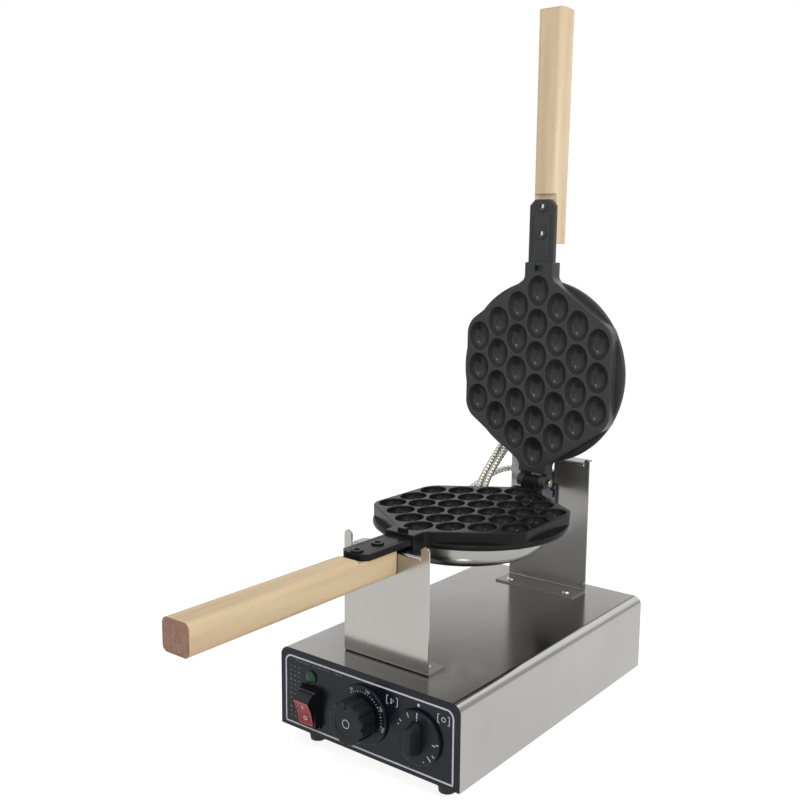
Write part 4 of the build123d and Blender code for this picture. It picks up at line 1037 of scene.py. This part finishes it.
def rockerPlace(s):
    pivot = Matrix.Translation((s["x"], s["pivotY"], s["z"]))
    lean = Matrix.Rotation(math.radians(s["tilt"]), 4, "X")
    return pivot @ lean @ Matrix.Rotation(math.pi / 2, 4, "X")


def onRocker(s, obj, lift):
    # Bends a flat piece onto the dished face, then leans it with the rocker
    for vert in obj.data.vertices:
        share = vert.co.y / s["half"]
        vert.co.z += s["reach"] - s["dish"] * (1 - share * share) + lift
    obj.data.transform(rockerPlace(s))
    return obj


def rockerPlate(s, name, inset, low, high):
    # A plate with rounded corners, cut across so that it can bend
    wide, tall, r = s["faceWide"] - inset, s["faceHalf"] - inset, max(s["corner"] - inset, 0.0005)
    outline = []
    for cx, cy, start in ((wide - r, -tall + r, -90), (wide - r, tall - r, 0), (-wide + r, tall - r, 90),
                          (-wide + r, -tall + r, 180)):
        for i in range(6):
            a = math.radians(start + 18 * i)
            outline.append((cx + r * math.cos(a), cy + r * math.sin(a)))
    plate = raised(name, outline, low, high)
    editAll(plate)
    for i in range(-5, 6):
        bpy.ops.mesh.select_all(action="SELECT")
        bpy.ops.mesh.bisect(plane_co=(0, i * tall / 6, 0), plane_no=(0, 1, 0))
    objectMode()
    return plate


def makeRockerFace(s):
    face = rockerPlate(s, "face", s["rim"], -s["back"], 0)
    dress(smooth(onRocker(s, face, s["proud"] - s["sunk"]), 30), redGloss, "rocker_red", "rocker")
    face.name = "rockerFace"
    # The rim's paler red is a painted highlight
    rim = rockerPlate(s, "rim", 0, -s["back"], 0)
    boolean(rim, rockerPlate(s, "inside", s["rim"], -0.002, 0.001), "DIFFERENCE")
    roundEdges(rim, s["rimEdge"], 2, 50)
    dress(smooth(onRocker(s, rim, s["proud"]), 30), redRimHighlight, "rocker_red", "rocker")
    rim.name = "rockerRim"
    upper = bar(*s["bar"], Matrix.Translation((0, s["barAt"], 0)))
    lower = ring(*s["ring"], Matrix.Translation((0, s["ringAt"], 0)), 24)
    marks = onRocker(s, join("rockerMarks", [upper, lower]), s["proud"] - s["sunk"])
    dress(marks, printWhite, "terminal_white", "rocker")


makeRockerFace(rockerSet)
print("rocker marked")


# Floor and light: how bright each part of the sky is in mirrors, and between which directions it changes
lightSet = {
    "world": 0.5, "mirrorLow": 1.0, "mirrorMiddle": 0.2, "mirrorRise": 0.35,
    "mirrorRight": 1.5, "mirrorFar": 0.7,
    "fallBand": (0.345, 0.385), "riseBand": (0.5, 0.85), "leftBand": (-0.63, -0.56),
    "rightBand": (-0.34, -0.14), "farBand": (0.33, 0.5),
    "floorSize": 14, "floorTone": (0.8, 0.8, 0.8, 1), "floorShadow": (0.42, 0.42, 0.42, 1), "floorGlow": 0.81,
    "key": {"place": (-0.9, -1.6, 1.9), "aim": (0, 0, 0.3), "size": 1.4, "power": 5.5},
    "side": {"place": (1.8, -0.2, 1.1), "aim": (0, 0, 0.3), "size": 1.6, "power": 18},
    "top": {"place": (0.1, 0.5, 2.2), "aim": (0, 0, 0.2), "size": 1.8, "power": 5},
    "spark": {"place": (0.75, -1.05, 1.85), "aim": (0.03, 0, 0.25), "size": 0.34, "power": 9},
}


def seenDirectly(tree):
    # One where the ray comes from the camera, a mirror-like surface or clear material
    path = tree.nodes.new("ShaderNodeLightPath")
    total = path.outputs["Is Camera Ray"]
    for label in ("Is Glossy Ray", "Is Transmission Ray"):
        node = addNode(tree, "ShaderNodeMath", operation="MAXIMUM")
        tree.links.new(total, node.inputs[0])
        tree.links.new(path.outputs[label], node.inputs[1])
        total = node.outputs[0]
    return total


def mixValues(tree, factor, first, second):
    node = tree.nodes.new("ShaderNodeMix")
    for socket, value in ((node.inputs[0], factor), (node.inputs[2], first), (node.inputs[3], second)):
        if isinstance(value, float):
            socket.default_value = value
        else:
            tree.links.new(value, socket)
    return node.outputs[0]


def makeWorld():
    # White to the camera; in mirrors bright low down and at the sides, dim above; softer as a light
    world = bpy.data.worlds.new("studio")
    bpy.context.scene.world = world
    world.use_nodes = True
    tree = world.node_tree
    background = tree.nodes["Background"]
    background.inputs["Color"].default_value = (1, 1, 1, 1)
    sky = tree.nodes.new("ShaderNodeTexCoord")
    split = tree.nodes.new("ShaderNodeSeparateXYZ")
    tree.links.new(sky.outputs["Generated"], split.inputs[0])
    s = lightSet
    across, height = split.outputs[0], split.outputs[2]
    fall = ramp(tree, height, *s["fallBand"], s["mirrorLow"], s["mirrorMiddle"])
    rise = ramp(tree, height, *s["riseBand"], 0.0, s["mirrorRise"])
    total = addNode(tree, "ShaderNodeMath", operation="ADD")
    tree.links.new(fall, total.inputs[0])
    tree.links.new(rise, total.inputs[1])
    mirrored = mixValues(tree, ramp(tree, across, *s["leftBand"]), s["mirrorLow"], total.outputs[0])
    glare = ramp(tree, across, *s["farBand"], s["mirrorRight"], s["mirrorFar"])
    mirrored = mixValues(tree, ramp(tree, across, *s["rightBand"]), mirrored, glare)
    path = tree.nodes.new("ShaderNodeLightPath")
    strength = mixValues(tree, seenDirectly(tree), s["world"], mirrored)
    strength = mixValues(tree, path.outputs["Is Camera Ray"], strength, 1.0)
    tree.links.new(strength, background.inputs["Strength"])


def makeFloor():
    bpy.ops.mesh.primitive_plane_add(size=lightSet["floorSize"], location=(0, 0, 0))
    floor = bpy.context.object
    floor.name = "floor"
    material = bpy.data.materials.new("paleFloor")
    material.use_nodes = True
    tree = material.node_tree
    tree.nodes.remove(tree.nodes["Principled BSDF"])
    plain = addNode(tree, "ShaderNodeBsdfDiffuse", Color=lightSet["floorTone"])
    shadowed = addNode(tree, "ShaderNodeBsdfDiffuse", Color=lightSet["floorShadow"])
    glow = addNode(tree, "ShaderNodeEmission", Color=(1, 1, 1, 1), Strength=lightSet["floorGlow"])
    seen = tree.nodes.new("ShaderNodeAddShader")
    mix = tree.nodes.new("ShaderNodeMixShader")
    tree.links.new(shadowed.outputs[0], seen.inputs[0])
    tree.links.new(glow.outputs[0], seen.inputs[1])
    tree.links.new(seenDirectly(tree), mix.inputs[0])
    tree.links.new(plain.outputs[0], mix.inputs[1])
    tree.links.new(seen.outputs[0], mix.inputs[2])
    tree.links.new(mix.outputs[0], tree.nodes["Material Output"].inputs["Surface"])
    floor.data.materials.append(material)


def makeLamp(name):
    s = lightSet[name]
    bpy.ops.object.light_add(type="AREA", location=s["place"])
    lamp = bpy.context.object
    lamp.name = name + "Lamp"
    lamp.data.size = s["size"]
    lamp.data.energy = s["power"]
    lamp.rotation_mode = "QUATERNION"
    lamp.rotation_quaternion = (Vector(s["aim"]) - Vector(s["place"])).to_track_quat("-Z", "Y")


makeWorld()
makeFloor()
for lampName in ("key", "side", "top", "spark"):
    makeLamp(lampName)
print("stage made")
